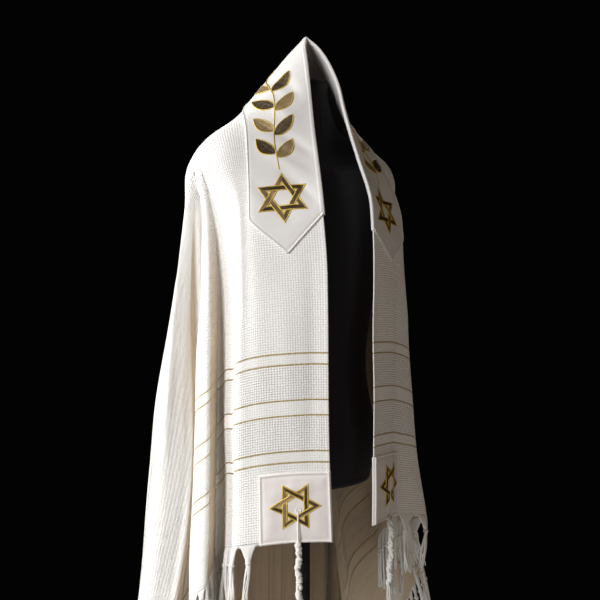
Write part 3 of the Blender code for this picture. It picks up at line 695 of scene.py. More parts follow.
# Sewn borders: height, then distance in, width and height of the piping and the stitching
BAND_BORDER = (BAND_GAP + BAND_THICKNESS, (0.0017, 0.0010, 0.0008), (0.0042, 0.0010, 0.0005))
PATCH_BORDER = (PATCH_LIFT + 0.0010, (0.0018, 0.0014, 0.0009), (0.0050, 0.0011, 0.0006))
# Columns of the band: from each edge, over the middle, and down the inside as shares
BAND_FINE = np.array([0, 0.0005, 0.0011, 0.0017, 0.0024, 0.0033, 0.0045, 0.0057, 0.0075])
BAND_WIDE = np.linspace(0.0105, BAND_WIDTH - 0.0105, 32)
FACING_SHARES = np.array([0, 0.1, 0.25, 0.45, 0.7, 0.85, 0.94, 0.97, 1.0])
BAND_ROWS = 140


def risen(off, reach=EDGE_RISE):
    """From 0 at an edge to 1 at a distance from it, steep at first."""
    return np.clip(off / reach, 0, 1) ** 0.5


def groove(off, stitching):
    """Depth of a row of stitches at a distance from the border."""
    return stitching[2] * bell(off - stitching[0], stitching[1])


def border(off, high, piping, stitching):
    """Height near a sewn border: up from the cloth, a piping, then a stitched groove."""
    bead = piping[2] * bell(off - piping[0], piping[1]) * np.clip(off / 0.001, 0, 1)
    return high * risen(off) + bead - groove(off, stitching)


def band_grid(side):
    """The band of one side: outside, round the neck edge, and down the inside.

    Its cross-section is a line of t and lift, with a half circle round the neck edge. Each
    column ends on a line that is straight and then the point of a V.
    """
    t_out = np.r_[BAND_FINE, BAND_WIDE, BAND_WIDTH - BAND_FINE[::-1]]
    t_in = BAND_FACING * FACING_SHARES[::-1]
    turn = np.linspace(-math.pi / 2, math.pi / 2, 13)[1:-1]
    high, low = BAND_GAP + BAND_THICKNESS, -CLOTH_WALL - BAND_GAP - 0.001
    t = np.r_[t_in, -(high - low) / 2 * np.cos(turn), t_out][None]
    share = np.unique(np.r_[np.linspace(0, 1, BAND_ROWS), 1 - BAND_FINE[1:] / BAND_CORNER[side]])
    point = 1 - abs(2 * np.maximum(t, 0) / BAND_WIDTH - 1)
    end = BAND_CORNER[side] + BAND_POINT[side] * point
    s = end * share[:, None]
    to_end = (end - s) * math.cos(math.atan2(BAND_POINT[side], BAND_WIDTH / 2))
    off = np.minimum(BAND_WIDTH - t, to_end)
    inside = low * risen(to_end) * risen(BAND_FACING - t, 0.002) - CLOTH_WALL / 2
    circle = np.r_[0 * t_in, turn, 0 * t_out][None]
    round_edge = (high + low) / 2 + (high - low) / 2 * np.sin(circle) * risen(to_end)
    column = np.arange(t.size)
    lift = np.where(column < t_in.size, inside, round_edge)
    lift = np.where(column >= t_in.size + turn.size,
                    border(off, *BAND_BORDER) - groove(t, BAND_BORDER[2]), lift)
    place = laid(side, s, t, lift)
    place[0, :, 0] = 0.0
    spread = np.r_[-0.006 - t_in, -0.005 * np.cos(turn), t_out][None]
    return turned_out(place, values_of(s * SIDES[side], spread, off), side)


def band_lift(s, t):
    """Height of the band's surface over the cloth."""
    return BAND_GAP + BAND_THICKNESS + 0 * s


# ---- Embroidery -----------------------------------------------------------------------

GOLD_CORD = 0.0018  # width of the gold outline
SATIN_HEIGHT, CORD_HEIGHT = 0.0007, 0.0006
CORD_STOPS = np.array([0, 0.2, 0.5, 0.8, 1.0])
SUNK = 0.93  # of a bar's height, where it goes under another
CROSSING = 0.9  # of the radius: how near a side's middle is when two bars cross
LEAF_SKEW, LEAF_FULL, LEAF_FILL = 0.85, 0.8, (0.66, 0.33, 0.04, 0)
RIB_DEPTH, RIB_WIDTH = 0.0003, 0.0008


def stitched(off):
    """Height of the stitching: a half round cord along the outline, then the satin fill."""
    cord = CORD_HEIGHT * np.sqrt(np.clip(1 - (2 * off / GOLD_CORD - 1) ** 2, 0, 1))
    return SATIN_HEIGHT * risen(off, GOLD_CORD) + np.where(off < GOLD_CORD, cord, 0.0)


def sewn(side, ground, centre, x, y, lift, value):
    """A flat design on the cloth, as a grid that faces outwards.

    x runs towards the neck edge and y up, from a centre in cloth coordinates; ground gives
    the height of what it is sewn on.
    """
    s, t = centre[0] - y, centre[1] - x
    place = laid(side, s, t, ground(s, t) + lift)
    return facing(place, value, outward(side, np.mean(s), np.mean(t)))


def star_grids(side, ground, centre, radius, width, turn, painted_sheens):
    """An interlaced six-pointed star: two triangles of mitred bars.

    A bar's points lie between the outer and inner lines of its triangle. It goes over the
    other triangle before its middle, and under it after, where its height sinks.
    """
    cord = GOLD_CORD * CORD_STOPS
    fill = np.linspace(GOLD_CORD, width - GOLD_CORD, 6)[1:-1]
    v = np.r_[cord, fill, width - cord[::-1]][None] / width
    u = np.linspace(0, 1, 61)[:, None]
    off = np.minimum(v, 1 - v) * width + 0 * u
    made = []
    for first, other in ((0.0, math.pi), (math.pi, 0.0)):
        corners = first + turn + np.arange(4) * TAU / 3
        outer = radius * np.stack([np.sin(corners), np.cos(corners)], -1)
        inner = outer * (1 - 2 * width / radius)
        for k in range(3):
            edges = [between(line[k], line[k + 1], u)[:, None] for line in (outer, inner)]
            flat = between(*edges, v[..., None])
            sunk = 0 * u
            for angle in other + turn + TAU / 6 + np.arange(3) * TAU / 3:
                way = np.array([math.sin(angle), math.cos(angle)])
                crosses = abs(np.dot(way, outer[k] + outer[k + 1])) < CROSSING * radius
                gap = abs(radius / 2 - flat @ way - width / 2) - width / 2
                sunk = sunk + crosses * (1 - np.clip(gap / EDGE_RISE, 0, 1)) * (u > 0.5)
            lift = stitched(off) * (1 - SUNK * np.clip(sunk, 0, 1))
            value = values_of(u * radius, v * width, off, painted_sheens[k + (3 if first else 0)])
            made.append(sewn(side, ground, centre, flat[..., 0], flat[..., 1], lift, value))
    return made


def leaf_grid(side, root, way, length, half, bend, painted_sheen):
    """A pointed leaf: its half width is a skewed sine of the length, about a bowed rib."""
    u = np.linspace(0, 1, 29)[:, None]
    width = half * np.sin(math.pi * u**LEAF_SKEW) ** LEAF_FULL + 1e-5
    cord = np.minimum(GOLD_CORD / width, 0.8)
    v = np.concatenate([1 - cord * CORD_STOPS, (1 - cord) * np.array(LEAF_FILL)], axis=1)
    v = np.concatenate([v, -v[:, -2::-1]], axis=1)
    x = length * u + 0 * v
    y = bend * np.sin(math.pi * u) + width * v
    flat_x = root[0] + x * math.cos(way) - y * math.sin(way)
    flat_y = root[1] + x * math.sin(way) + y * math.cos(way)
    off = (1 - abs(v)) * width
    lift = stitched(off) - RIB_DEPTH * bell(width * v, RIB_WIDTH)
    lift = lift * np.clip(width / GOLD_CORD, 0.15, 1)
    value = values_of(x, x * 0.8 - abs(width * v), off, painted_sheen)
    return sewn(side, band_lift, (0.0, 0.0), flat_x, flat_y, lift, value)


def stem_grid(side, line):
    """A gold cord along a line of x, y: a half round profile with its feet on the band."""
    way = unit(np.gradient(line, axis=0))
    off = GOLD_CORD * CORD_STOPS[None] * 0.999
    x = line[:, :1] - way[:, 1:] * (off - GOLD_CORD / 2)
    y = line[:, 1:] + way[:, :1] * (off - GOLD_CORD / 2)
    value = values_of(run(line)[:, None], off, 0.0, 0.5)
    return sewn(side, band_lift, (0.0, 0.0), x, y, stitched(off) + 0 * x, value)


# Leaves along the band: s of the root, side of the stem, angle from it (degrees), length,
# half width, painted sheen of the fill
SPRAY = (
    (0.224, 1, 40, 0.041, 0.0102, 0.65), (0.217, -1, 42, 0.043, 0.0106, 0.05),
    (0.183, 1, 46, 0.043, 0.0106, 0.10), (0.175, -1, 44, 0.044, 0.0106, 0.70),
    (0.141, 1, 46, 0.043, 0.0106, 0.70), (0.133, -1, 44, 0.044, 0.0104, 0.05),
    (0.099, 1, 44, 0.042, 0.0100, 0.10), (0.091, -1, 44, 0.042, 0.0100, 0.60),
)
SPRAY_TOP, SPRAY_FOOT = 0.058, 0.243
SPRAY_MIDDLE, SPRAY_SWAY, SPRAY_WAVE = 0.058, 0.0030, 0.155  # the stem's t and its waves
SPRAY_SHIFT = {"right": 0.0, "left": 0.021}  # the band lies farther down on the left
TOP_LEAF = (0.036, 0.0090, 0.0, 0.5)  # length, half width, bend, painted sheen
LEAF_BEND = 0.003


def spray_grids(side):
    """Stem and leaves up one side of the band; the stem is a slow wave about its middle."""
    def stem(s):
        """Points of the stem at each s, as x and y."""
        t = SPRAY_MIDDLE + SPRAY_SWAY * np.sin(s * TAU / SPRAY_WAVE)
        return np.stack([-t, -s - SPRAY_SHIFT[side]], -1)

    made = [stem_grid(side, stem(np.linspace(SPRAY_FOOT, SPRAY_TOP, 60)))]
    for root, hand, angle, length, half, painted_sheen in SPRAY:
        way = math.pi / 2 - hand * math.radians(angle)
        made.append(leaf_grid(side, stem(root), way, length, half, -hand * LEAF_BEND, painted_sheen))
    return [*made, leaf_grid(side, stem(SPRAY_TOP), math.pi / 2, *TOP_LEAF)]


# Stars: radius, width of the bars, turn, and a painted sheen for each bar, which paints its fill
# lighter
BAND_STAR_CENTRE = {"right": (0.2875, 0.0540), "left": (0.3095, 0.0460)}
BAND_STAR = (0.0395, 0.0086, 0.0, (0.10, 0.05, 0.48, 0.38, 0.05, 0.15))
PATCH_STAR_CENTRE = (HALF_LENGTH - 0.052, 0.050)
PATCH_STAR = (0.037, 0.0075, math.radians(30), (0.10, 0.05, 0.60, 0.65, 0.10, 0.15))


# ---- Corner patches -------------------------------------------------------------------

# Waves along s and t (radians a metre), start, height (m)
PATCH_FOLDS = (
    (70, 42, 0.3, 0.0006), (-52, 88, 1.4, 0.0005), (118, 30, 2.2, 0.0003),
    (24, -130, 0.7, 0.0003), (310, 60, 0.0, 0.0002), (45, 285, 1.1, 0.00025),
)
PATCH_PUFF, PUFF_START, PUFF_RANGE = 0.0016, 0.004, 0.012
PATCH_FINE = np.array([0, 0.0005, 0.0012, 0.0018, 0.0026, 0.0035, 0.005, 0.0065])
PATCH_WIDE = np.linspace(0.0085, PATCH - 0.0085, 42)
PATCH_OVER = 0.0008  # how far a patch goes past the cloth's edge
PATCH_TURNED, PATCH_TUCK = 0.0028, 0.0006  # how far down its outer and inner edges go
EYELET_RADIUS, EYELET_WALL, EYELET_LIFT = 0.0034, 0.0009, 0.0002


def corner_t(place, t=EYELET_INSET):
    """Cloth coordinate t at a distance from the edge of a front or rear corner."""
    return t if place == "front" else CLOTH_WIDTH - t


def inset(x, y):
    """Distance from the nearest border of a patch, inside it."""
    return np.minimum(np.minimum(x, PATCH - x), np.minimum(y, PATCH - y))


def patch_lift(s, t):
    """Height of a patch over the cloth, by the distance from its nearest border."""
    x = HALF_LENGTH - s
    y = np.where(t > CLOTH_WIDTH / 2, CLOTH_WIDTH - t, t)
    off = inset(x, y)
    puff = (1 - np.exp(-np.maximum(off - PUFF_START, 0) / PUFF_RANGE)) * (off > 0)
    folds = sum(h * np.sin(a * x + b * y + c) for a, b, c, h in PATCH_FOLDS)
    return border(off, *PATCH_BORDER) + puff * (PATCH_PUFF + folds)


def patch_grid(side, place):
    """A square patch over one corner, whose edges go down round the cloth's own."""
    steps = np.r_[-PATCH_OVER, -PATCH_OVER, PATCH_FINE, PATCH_WIDE, PATCH - PATCH_FINE[::-1], PATCH]
    under = np.r_[-PATCH_TURNED, 0.0, 0 * steps[2:-1], -PATCH_TUCK]
    x, y = np.meshgrid(steps, steps, indexing="ij")
    s, t = HALF_LENGTH - x, corner_t(place, y)
    lift = patch_lift(s, t) + np.minimum(under[:, None], under)
    away = outward(side, HALF_LENGTH - PATCH / 2, np.mean(t))
    return facing(laid(side, s, t, lift), values_of(x, y, inset(x, y)), away)


def eyelet_grid(side, place):
    """The sewn ring of the hole that a tzitzit comes through: a small round tube."""
    a, b = np.linspace(0, TAU, 25)[:, None], np.linspace(0, TAU, 9)[None]
    r = EYELET_RADIUS + EYELET_WALL * np.cos(b)
    s, t = HALF_LENGTH - EYELET_INSET + r * np.cos(a), corner_t(place) + r * np.sin(a)
    ring = laid(side, s, t, patch_lift(s, t) + EYELET_WALL * np.sin(b) + EYELET_LIFT)
    value = values_of(a * EYELET_RADIUS, b / TAU, 0.05)
    return facing(ring, value, ring - ring.mean(1, keepdims=True))


# ---- Fringe and tzitzit ---------------------------------------------------------------

TASSEL_STEP = 0.0262  # along the hem
TASSEL_FIRST, TASSEL_LAST = PATCH + 0.003, CLOTH_WIDTH - PATCH - 0.002
GATHER = 0.023  # from the hem down to the knot
KNOT_RADIUS, WRAP_RADIUS, WRAP_TURNS = 0.0031, 0.0012, 2.4
TASSEL_LENGTH = (0.080, 0.098)  # shortest and longest, from the hem
STRANDS, STRAND_RADIUS = 9, 0.00150
WEB_PLEATS, WEB_DEPTH = 7, 0.0007
WEB_START, WEB_LOOSE, WEB_PINCH = 0.003, 0.0002, 0.62  # above the hem, off the cloth, power
# Random ranges: knot off the cloth, turn of a strand, spread, sway and its waves, unevenness
# of the strands' ends and of their thickness. A tassel's lean has a usual spread instead.
KNOT_OFF, TURN_OFF, SPREAD = (-0.001, 0.002), (-0.3, 0.3), (0.0008, 0.0036)
SWAY, SWAY_WAVES, SWAY_START = (0.0006, 0.0016), (5, 9), (0, 6)
END_OFF, THICKNESS, LEAN = (0, 0.008), (0.8, 1.15), 0.004
BUNCH = 0.0016  # of a tassel's or a tzitzit's strands, where they leave the knot


def below_hem(t, drop):
    """Cloth coordinates that hang straight below the hem's point t, by a drop."""
    angle = np.arctan2(np.maximum(t - SHOULDER_T, 0), FRONT_REACH)
    return HALF_LENGTH + drop * np.cos(angle), t + drop * np.sin(angle)


def web_grid(side, t, knot, away):
    """The cloth that gathers into a knot: a flat tube that narrows to a round one.

    Its rings go from the hem, a flat loop as wide as the tassel's share of it, to a circle
    round the knot, with pleats that deepen on the way.
    """
    a, share = np.linspace(0, TAU, 25)[None], np.linspace(0, 1, 9)[:, None]
    wide = t + TASSEL_STEP / 2 * np.cos(a)
    deep = np.where(np.sin(a) > 0, WEB_LOOSE, -CLOTH_WALL - WEB_LOOSE)
    hem = laid(side, HALF_LENGTH - WEB_START, wide, deep)
    along = unit(cloth(side, HALF_LENGTH, t + 0.004) - cloth(side, HALF_LENGTH, t - 0.004))
    circle = knot + KNOT_RADIUS * (np.cos(a)[..., None] * along + np.sin(a)[..., None] * away)
    place = between(hem, circle, np.stack([share**WEB_PINCH, share**WEB_PINCH, share], -1))
    pleat = WEB_DEPTH * np.cos(WEB_PLEATS * a) * share * (1.25 - share)
    place = place + away * (pleat * np.sign(np.sin(a)))[..., None]
    u, v = below_hem(wide + 0 * share, share * GATHER)
    return facing(place, values_of(u * SIDES[side], v), place - place.mean(1, keepdims=True))


def tassel_grids(side, t, chance):
    """One tassel: gathered cloth, the wrap of its knot, and loose strands below."""
    away = outward(side, HALF_LENGTH - 0.002, t)
    middle = below_hem(t, GATHER)
    knot = laid(side, *middle) + away * chance.uniform(*KNOT_OFF)
    turns = np.linspace(0, WRAP_TURNS * TAU, 30)
    wrap = np.stack([np.cos(turns), np.sin(turns), -turns / 16], -1) * KNOT_RADIUS * 1.05
    wrap[:, 2] += WRAP_RADIUS
    made = [web_grid(side, t, knot, away), tube(knot + wrap, WRAP_RADIUS, 6)]
    length = chance.uniform(*TASSEL_LENGTH)
    lean = chance.normal(0, LEAN, 2)
    share = np.linspace(0, 1, 13)
    drop = GATHER - 0.002 + share * (length - GATHER)
    for k in range(STRANDS):
        turn = k / STRANDS * TAU + chance.uniform(*TURN_OFF)
        spread = BUNCH + share**1.3 * chance.uniform(*SPREAD)
        sway = chance.uniform(*SWAY) * np.sin(
            share * chance.uniform(*SWAY_WAVES) + chance.uniform(*SWAY_START))
        fan = np.cos(turn) * spread + sway + lean[0] * share**1.5
        s, tt = below_hem(t + fan, drop - share * chance.uniform(*END_OFF))
        depth = np.sin(turn) * spread * 0.8 + lean[1] * share**1.5
        path = cloth(side, s, tt) + away * (depth + 0.0005)[:, None]
        path = path + (knot - cloth(side, *middle)) * (1 - share)[:, None]
        thick = STRAND_RADIUS * (1 - 0.45 * share**3) * chance.uniform(*THICKNESS)
        made.append(tube(path, thick, 5))
    return made


def route_at(route, along):
    """Points of a route at these distances down it."""
    return np.stack([curve(along, run(route), column) for column in route.T], axis=-1)


def tzitzit_route(side, place):
    """Points down the middle of one tzitzit, from its eyelet to its end."""
    t = corner_t(place)
    rise = (PATCH_LIFT + TRIM_WALL + TZITZIT_DIAMETER / 2
            + TZITZIT_GAP.get((place, side), USUAL_GAP))
    start = cloth(side, HALF_LENGTH - EYELET_INSET, t)
    start = start + outward(side, HALF_LENGTH - EYELET_INSET, t) * rise
    over = cloth(side, HALF_LENGTH - 0.002, t) + outward(side, HALF_LENGTH, t) * rise
    fall = TZITZIT_LENGTH - np.linalg.norm(over - start)
    route = np.array([start, over, *(over + np.array([x * SIDES[side], y, -share * fall])
                                     for share, x, y in TZITZIT_SWAY)])
    return route_at(route, np.linspace(0, run(route)[-1], TZITZIT_POINTS))


WOUND = (0.044, 0.147)  # where the windings start and end, down the cord
WINDING_STEP, WINDING_PITCH, LUMP_PITCH, LUMP_WAVE = 0.0005, 0.0021, 0.0138, 0.0089
WANDER, WANDER_PITCH, UNEVEN, UNEVEN_PITCH = 0.0012, 0.034, 0.9, 0.0233
CORD_OFFSET, CORD_RADIUS, FLAT_RADIUS = 0.0023, 0.0026, 0.0013
FREE_STRANDS, FREE_RADIUS = 8, 0.0009
OVERLAP = (0.004, 0.005)  # of the windings by the flat and by the free strands
PRESSED, RESTING, APART, CLOSING = 0.0022, 0.0003, 0.0014, 0.0009  # of the flat strands
# Random ranges of the free strands: end, turn, waves and spread
FREE_END, FREE_TURN, FREE_WAVES, FREE_SPREAD = (0.001, 0.005), (-0.4, 0.4), (2, 5), (0.0018, 0.0042)


def tzitzit_grids(side, place, chance):
    """A tzitzit: two flat strands over the patch, lumpy windings, then free strands.

    The windings are two cords that twist round each other, with a ripple for each turn.
    """
    route = tzitzit_route(side, place)
    made = []
    along = np.linspace(0, WOUND[0] + OVERLAP[0], 14)
    path = route_at(route, along)
    across, _ = frames(path)
    down = outward(side, HALF_LENGTH - 0.02, corner_t(place))
    pressed = PRESSED * (1 - along / along[-1])[:, None] + RESTING
    for hand in (-1, 1):
        apart = hand * (APART - CLOSING * (along / along[-1] - 1) ** 8)[:, None]
        made.append(tube(path + across * apart - down * pressed, FLAT_RADIUS, 8))
    along = np.arange(*WOUND, WINDING_STEP)
    path = route_at(route, along)
    frame_here = frames(path)
    drift, knot = chance.uniform(0, TAU, 2)
    wander = WANDER * np.sin(along / WANDER_PITCH * TAU + drift)[:, None]
    for start in (0.0, math.pi):
        turn = along / LUMP_PITCH * TAU + start + UNEVEN * np.sin(along / UNEVEN_PITCH * TAU + knot)
        lump = 0.96 + 0.22 * np.cos(turn * 2 + 0.6) * np.sin(along / LUMP_WAVE + knot + start)
        lump = lump + 0.10 * np.sin(along / WINDING_PITCH * TAU)
        offset = around(frame_here, turn, CORD_OFFSET) + frame_here[0] * wander
        made.append(tube(path + offset, CORD_RADIUS * lump, 9))
    for k in range(FREE_STRANDS):
        end = TZITZIT_LENGTH - (k % 3) * chance.uniform(*FREE_END)
        along = np.linspace(WOUND[1] - OVERLAP[1], end, 26)
        share = (along - along[0]) / (along[-1] - along[0])
        path = route_at(route, along)
        turn = k / FREE_STRANDS * TAU + chance.uniform(*FREE_TURN)
        turn = turn + 0.9 * np.sin(share * chance.uniform(*FREE_WAVES))
        spread = BUNCH + chance.uniform(*FREE_SPREAD) * share**0.6
        offset = around(frames(path), turn, spread)
        made.append(tube(path + offset, FREE_RADIUS * (1 - 0.3 * share**4), 6))
    return made


# ---- Dress form and stand -------------------------------------------------------------

SEAM_TURNS = (90, 270, 38, 142, 218, 322)  # of the form's covers, degrees round from +X
SEAM_DEPTH, SEAM_WIDTH, SEAM_GIRTH = 0.0007, 0.0022, 0.1
BINDING, BINDING_WIDTH, BINDING_DEPTH = 0.011, 0.0012, 0.0008
HEM_ROUND = 0.0015  # of the form's bottom edge


def slant(y, ring_half):
    """Height of the slanted neck top at each y."""
    return between(NECK_FRONT, NECK_BACK, (y / ring_half + 1) / 2)


def form_grid():
    """The torso as ellipses with their own front and back depths, and sewn grooves.

    The seams are bell-shaped grooves down fixed turns, and the bound edge is one round.
    """
    stops = [(k / (len(FORM_SECTIONS) - 1), row[0]) for k, row in enumerate(FORM_SECTIONS)]
    z = table_curve(np.linspace(1, 0, 171), stops, 1)[:, None]
    share = np.linspace(0, 1, 181)[None]
    turn = share * TAU
    half, ahead, behind = (table_curve(z, FORM_SECTIONS, k) for k in (1, 2, 3))
    edge = z - FORM_SECTIONS[0][0]
    depth = BINDING_DEPTH * bell(edge - BINDING, BINDING_WIDTH)
    depth = depth + HEM_ROUND * np.exp(-edge / HEM_ROUND)
    for degrees in SEAM_TURNS:
        off = (np.mod(turn - math.radians(degrees) + math.pi, TAU) - math.pi) * SEAM_GIRTH
        depth = depth + SEAM_DEPTH * bell(off, SEAM_WIDTH)
    x = np.cos(turn) * (half - depth)
    y = np.sin(turn) * (np.where(np.sin(turn) < 0, ahead, behind) - depth)
    place = np.stack([x, y, z + 0 * turn], -1)
    neck = place[:1].copy()
    neck[..., 2] = slant(neck[..., 1], FORM_SECTIONS[-1][2])
    top, bottom = (np.broadcast_to([0, 0, k], neck.shape)
                   for k in ((NECK_FRONT + NECK_BACK) / 2, FORM_SECTIONS[0][0]))
    place = np.concatenate([top, neck, place, bottom])
    return place, values_of(place[..., 2], share * 0.75)


def cap_grid():
    """The slanted disc on the neck, with a rounded rim."""
    _, half, ahead, behind = FORM_SECTIONS[-1]
    rim, rise = rounded([(0, 1), (1, 1), (1, 0), (0, 0)], CAP_ROUNDING).T[:, :, None]
    share = np.linspace(0, 1, 97)[None]
    turn = share * TAU
    x = np.cos(turn) * half * rim
    y = np.sin(turn) * np.where(np.sin(turn) < 0, ahead, behind) * rim
    z = slant(y, ahead) + CAP_GAP + rise * (CAP_THICKNESS - CAP_GAP)
    return np.stack([x, y, z], -1), values_of(rim, share * 0.24)


def stand_grids():
    """The collar, pole and base: profiles of (radius, height) from top to bottom, turned."""
    bottom = FORM_SECTIONS[0][0] - SEAM_GAP
    collar = bottom - COLLAR_HEIGHT
    pole, foot = collar - SEAM_GAP, BASE_HEIGHT + SEAM_GAP
    profiles = {
        "collar": ([(0, bottom), (COLLAR_RADIUS, bottom), (COLLAR_RADIUS, collar + COLLAR_TAPER),
                    (POLE_RADIUS + 0.004, collar), (0, collar)], 0.0015),
        "pole": ([(0, pole), (POLE_RADIUS, pole), (POLE_RADIUS, foot), (0, foot)], 0.001),
        "base": ([(0, BASE_HEIGHT), (0.030, BASE_HEIGHT), (0.045, BASE_HEIGHT - 0.004),
                  (BASE_RADIUS - 0.012, BASE_RIM + 0.004), (BASE_RADIUS - 0.003, BASE_RIM),
                  (BASE_RADIUS, BASE_RIM - 0.004), (BASE_RADIUS, 0.002),
                  (BASE_RADIUS - 0.002, 0), (0, 0)], 0.004),
    }
    return {name: turned(rounded(*profile)) for name, profile in profiles.items()}


# ---- Node helpers ---------------------------------------------------------------------

FLOAT, VECTOR, COLOUR = "NodeSocketFloat", "NodeSocketVector", "NodeSocketColor"


def put(tree, socket, value):
    """Set an input, or link an output to it."""
    if isinstance(value, bpy.types.NodeSocket):
        tree.links.new(value, socket)
    else:
        socket.default_value = value


def node(tree, kind, inputs=(), **settings):
    """Add a node, set its settings, and set or link each named or numbered input."""
    made = tree.nodes.new(kind)
    for name, value in settings.items():
        setattr(made, name, value)
    for name, value in dict(inputs).items():
        put(tree, made.inputs[name], value)
    return made


def feed(tree, target, **values):
    """Set or link inputs of a node; their names have _ for each space."""
    for name, value in values.items():
        put(tree, target.inputs[name.replace("_", " ")], value)


def maths(tree, operation, *values):
    """A Math node's output."""
    return node(tree, "ShaderNodeMath", enumerate(values), operation=operation).outputs[0]


def times(tree, first, second):
    """The product of two values."""
    return maths(tree, "MULTIPLY", first, second)


def fit(tree, value, low, high, to_low=0.0, to_high=1.0):
    """A Map Range node's output."""
    inputs = enumerate((value, low, high, to_low, to_high))
    return node(tree, "ShaderNodeMapRange", inputs).outputs[0]


def wave(tree, value, pitch=1.0):
    """A sine wave from 0 to 1 that repeats at a pitch."""
    return fit(tree, maths(tree, "SINE", times(tree, value, TAU / pitch)), -1.0, 1.0)


def split(tree, vector):
    """The three parts of a vector."""
    return node(tree, "ShaderNodeSeparateXYZ", {0: vector}).outputs


def noise(tree, place, scale, detail):
    """A Noise Texture's value at a place."""
    inputs = {"Vector": place, "Scale": scale, "Detail": detail}
    return node(tree, "ShaderNodeTexNoise", inputs).outputs[0]


def solid(colour):
    """A colour with an alpha of 1, or a socket as it is."""
    return colour if isinstance(colour, bpy.types.NodeSocket) else (*colour, 1.0)


def blend(tree, factor, first, second, blend_type="MIX"):
    """A colour Mix node's output."""
    return node(tree, "ShaderNodeMix", {0: factor, 6: solid(first), 7: solid(second)},
                data_type="RGBA", blend_type=blend_type).outputs[2]


def group(name, inputs, outputs):
    """A new shader node group; returns it, the sockets it is given and its output node."""
    tree = bpy.data.node_groups.new(name, "ShaderNodeTree")
    for label, kind, *default in inputs:
        made = tree.interface.new_socket(label, in_out="INPUT", socket_type=kind)
        if default:
            made.default_value = default[0]
    for label, kind in outputs:
        tree.interface.new_socket(label, in_out="OUTPUT", socket_type=kind)
    return tree, tree.nodes.new("NodeGroupInput").outputs, tree.nodes.new("NodeGroupOutput")


def placed(tree, name, **inputs):
    """Outputs of a node that uses a group."""
    made = node(tree, "ShaderNodeGroup", node_tree=bpy.data.node_groups[name])
    feed(tree, made, **inputs)
    return made.outputs


def make_weave_group():
    """Rows and columns of threads as rounded waves, with a slight unevenness."""
    tree, given, leave = group(
        "Waffle weave",
        (("Place", VECTOR), ("Row pitch", FLOAT, 0.0031), ("Column pitch", FLOAT, 0.0031),
         ("Rows", FLOAT, 0.6), ("Columns", FLOAT, 0.4)),
        (("Height", FLOAT), ("Hollow", FLOAT)),
    )
    shift = fit(tree, noise(tree, given["Place"], 90.0, 2.0), 0.3, 0.7, -0.0004, 0.0004)
    waves = []
    for part, pitch, weight in zip(split(tree, given["Place"]), ("Row pitch", "Column pitch"),
                                   ("Rows", "Columns")):
        turn = maths(tree, "DIVIDE", maths(tree, "ADD", part, shift), given[pitch])
        waves.append(times(tree, wave(tree, turn), given[weight]))
    height = maths(tree, "ADD", *waves)
    fuzz = noise(tree, given["Place"], 900.0, 3.0)
    # Hollow is 1 where the weave is lowest; the materials use it to paint shade there
    feed(tree, leave, Height=maths(tree, "MULTIPLY_ADD", fuzz, 0.25, height),
         Hollow=fit(tree, height, 0.55, 0.0))


def make_thread_group():
    """Fine parallel threads along one direction, broken up a little along their length."""
    tree, given, leave = group(
        "Laid threads",
        (("Along", FLOAT, 0.0), ("Across", FLOAT, 0.0), ("Pitch", FLOAT, 0.0006)),
        (("Height", FLOAT), ("Shade", FLOAT)),
    )
    across = maths(tree, "DIVIDE", given["Across"], given["Pitch"])
    at = node(tree, "ShaderNodeCombineXYZ", {0: times(tree, given["Along"], 120.0), 1: across})
    uneven = noise(tree, at.outputs[0], 1.0, 2.0)
    feed(tree, leave, Height=maths(tree, "MULTIPLY_ADD", uneven, 0.6, wave(tree, across)),
         Shade=fit(tree, uneven, 0.3, 0.7))


def make_mottle_group():
    """A colour that wanders a little between darker and lighter, by place."""
    tree, given, leave = group(
        "Mottle",
        (("Place", VECTOR), ("Colour", COLOUR, (1, 1, 1, 1)), ("Scale", FLOAT, 8.0),
         ("Amount", FLOAT, 0.05)),
        (("Colour", COLOUR),),
    )
    uneven = noise(tree, given["Place"], given["Scale"], 4.0)
    spread = times(tree, maths(tree, "SUBTRACT", uneven, 0.5), 2.0)
    shade = maths(tree, "MULTIPLY_ADD", spread, given["Amount"], 1.0)
    feed(tree, leave, Colour=blend(tree, 1.0, given["Colour"], shade, "MULTIPLY"))


def mottle(tree, place, colour, scale, amount):
    """A colour that wanders by an amount, a share of it, over about scale patches a metre."""
    return placed(tree, "Mottle", Place=place, Colour=solid(colour), Scale=scale,
                  Amount=amount)[0]


def threads(tree, along, across, pitch):
    """Height and shade of laid threads."""
    return placed(tree, "Laid threads", Along=along, Across=across, Pitch=pitch)


def new_material(name, **constants):
    """A material with a Principled shader; returns it, its tree and the shader."""
    made = bpy.data.materials.new(name)
    made.use_nodes = True
    shader = made.node_tree.nodes["Principled BSDF"]
    feed(made.node_tree, shader, **constants)
    return made, made.node_tree, shader


def bump(tree, shader, height, distance):
    """Feed a height, in units of a distance, to the shader's normal."""
    inputs = {"Height": height, "Distance": distance, "Strength": 1.0}
    feed(tree, shader, Normal=node(tree, "ShaderNodeBump", inputs).outputs[0])


def cloth_place(tree):
    """The piece's own UV map, whose u and v are metres, and those two."""
    place = node(tree, "ShaderNodeUVMap", uv_map="cloth").outputs[0]
    return place, *split(tree, place)[:2]


def object_place(tree):
    """Place in the piece's own space, in metres."""
    return node(tree, "ShaderNodeTexCoord").outputs["Object"]


def attribute(tree, name):
    """A value of the mesh's points."""
    return node(tree, "ShaderNodeAttribute", attribute_name=name).outputs["Fac"]


# ---- Materials ------------------------------------------------------------------------

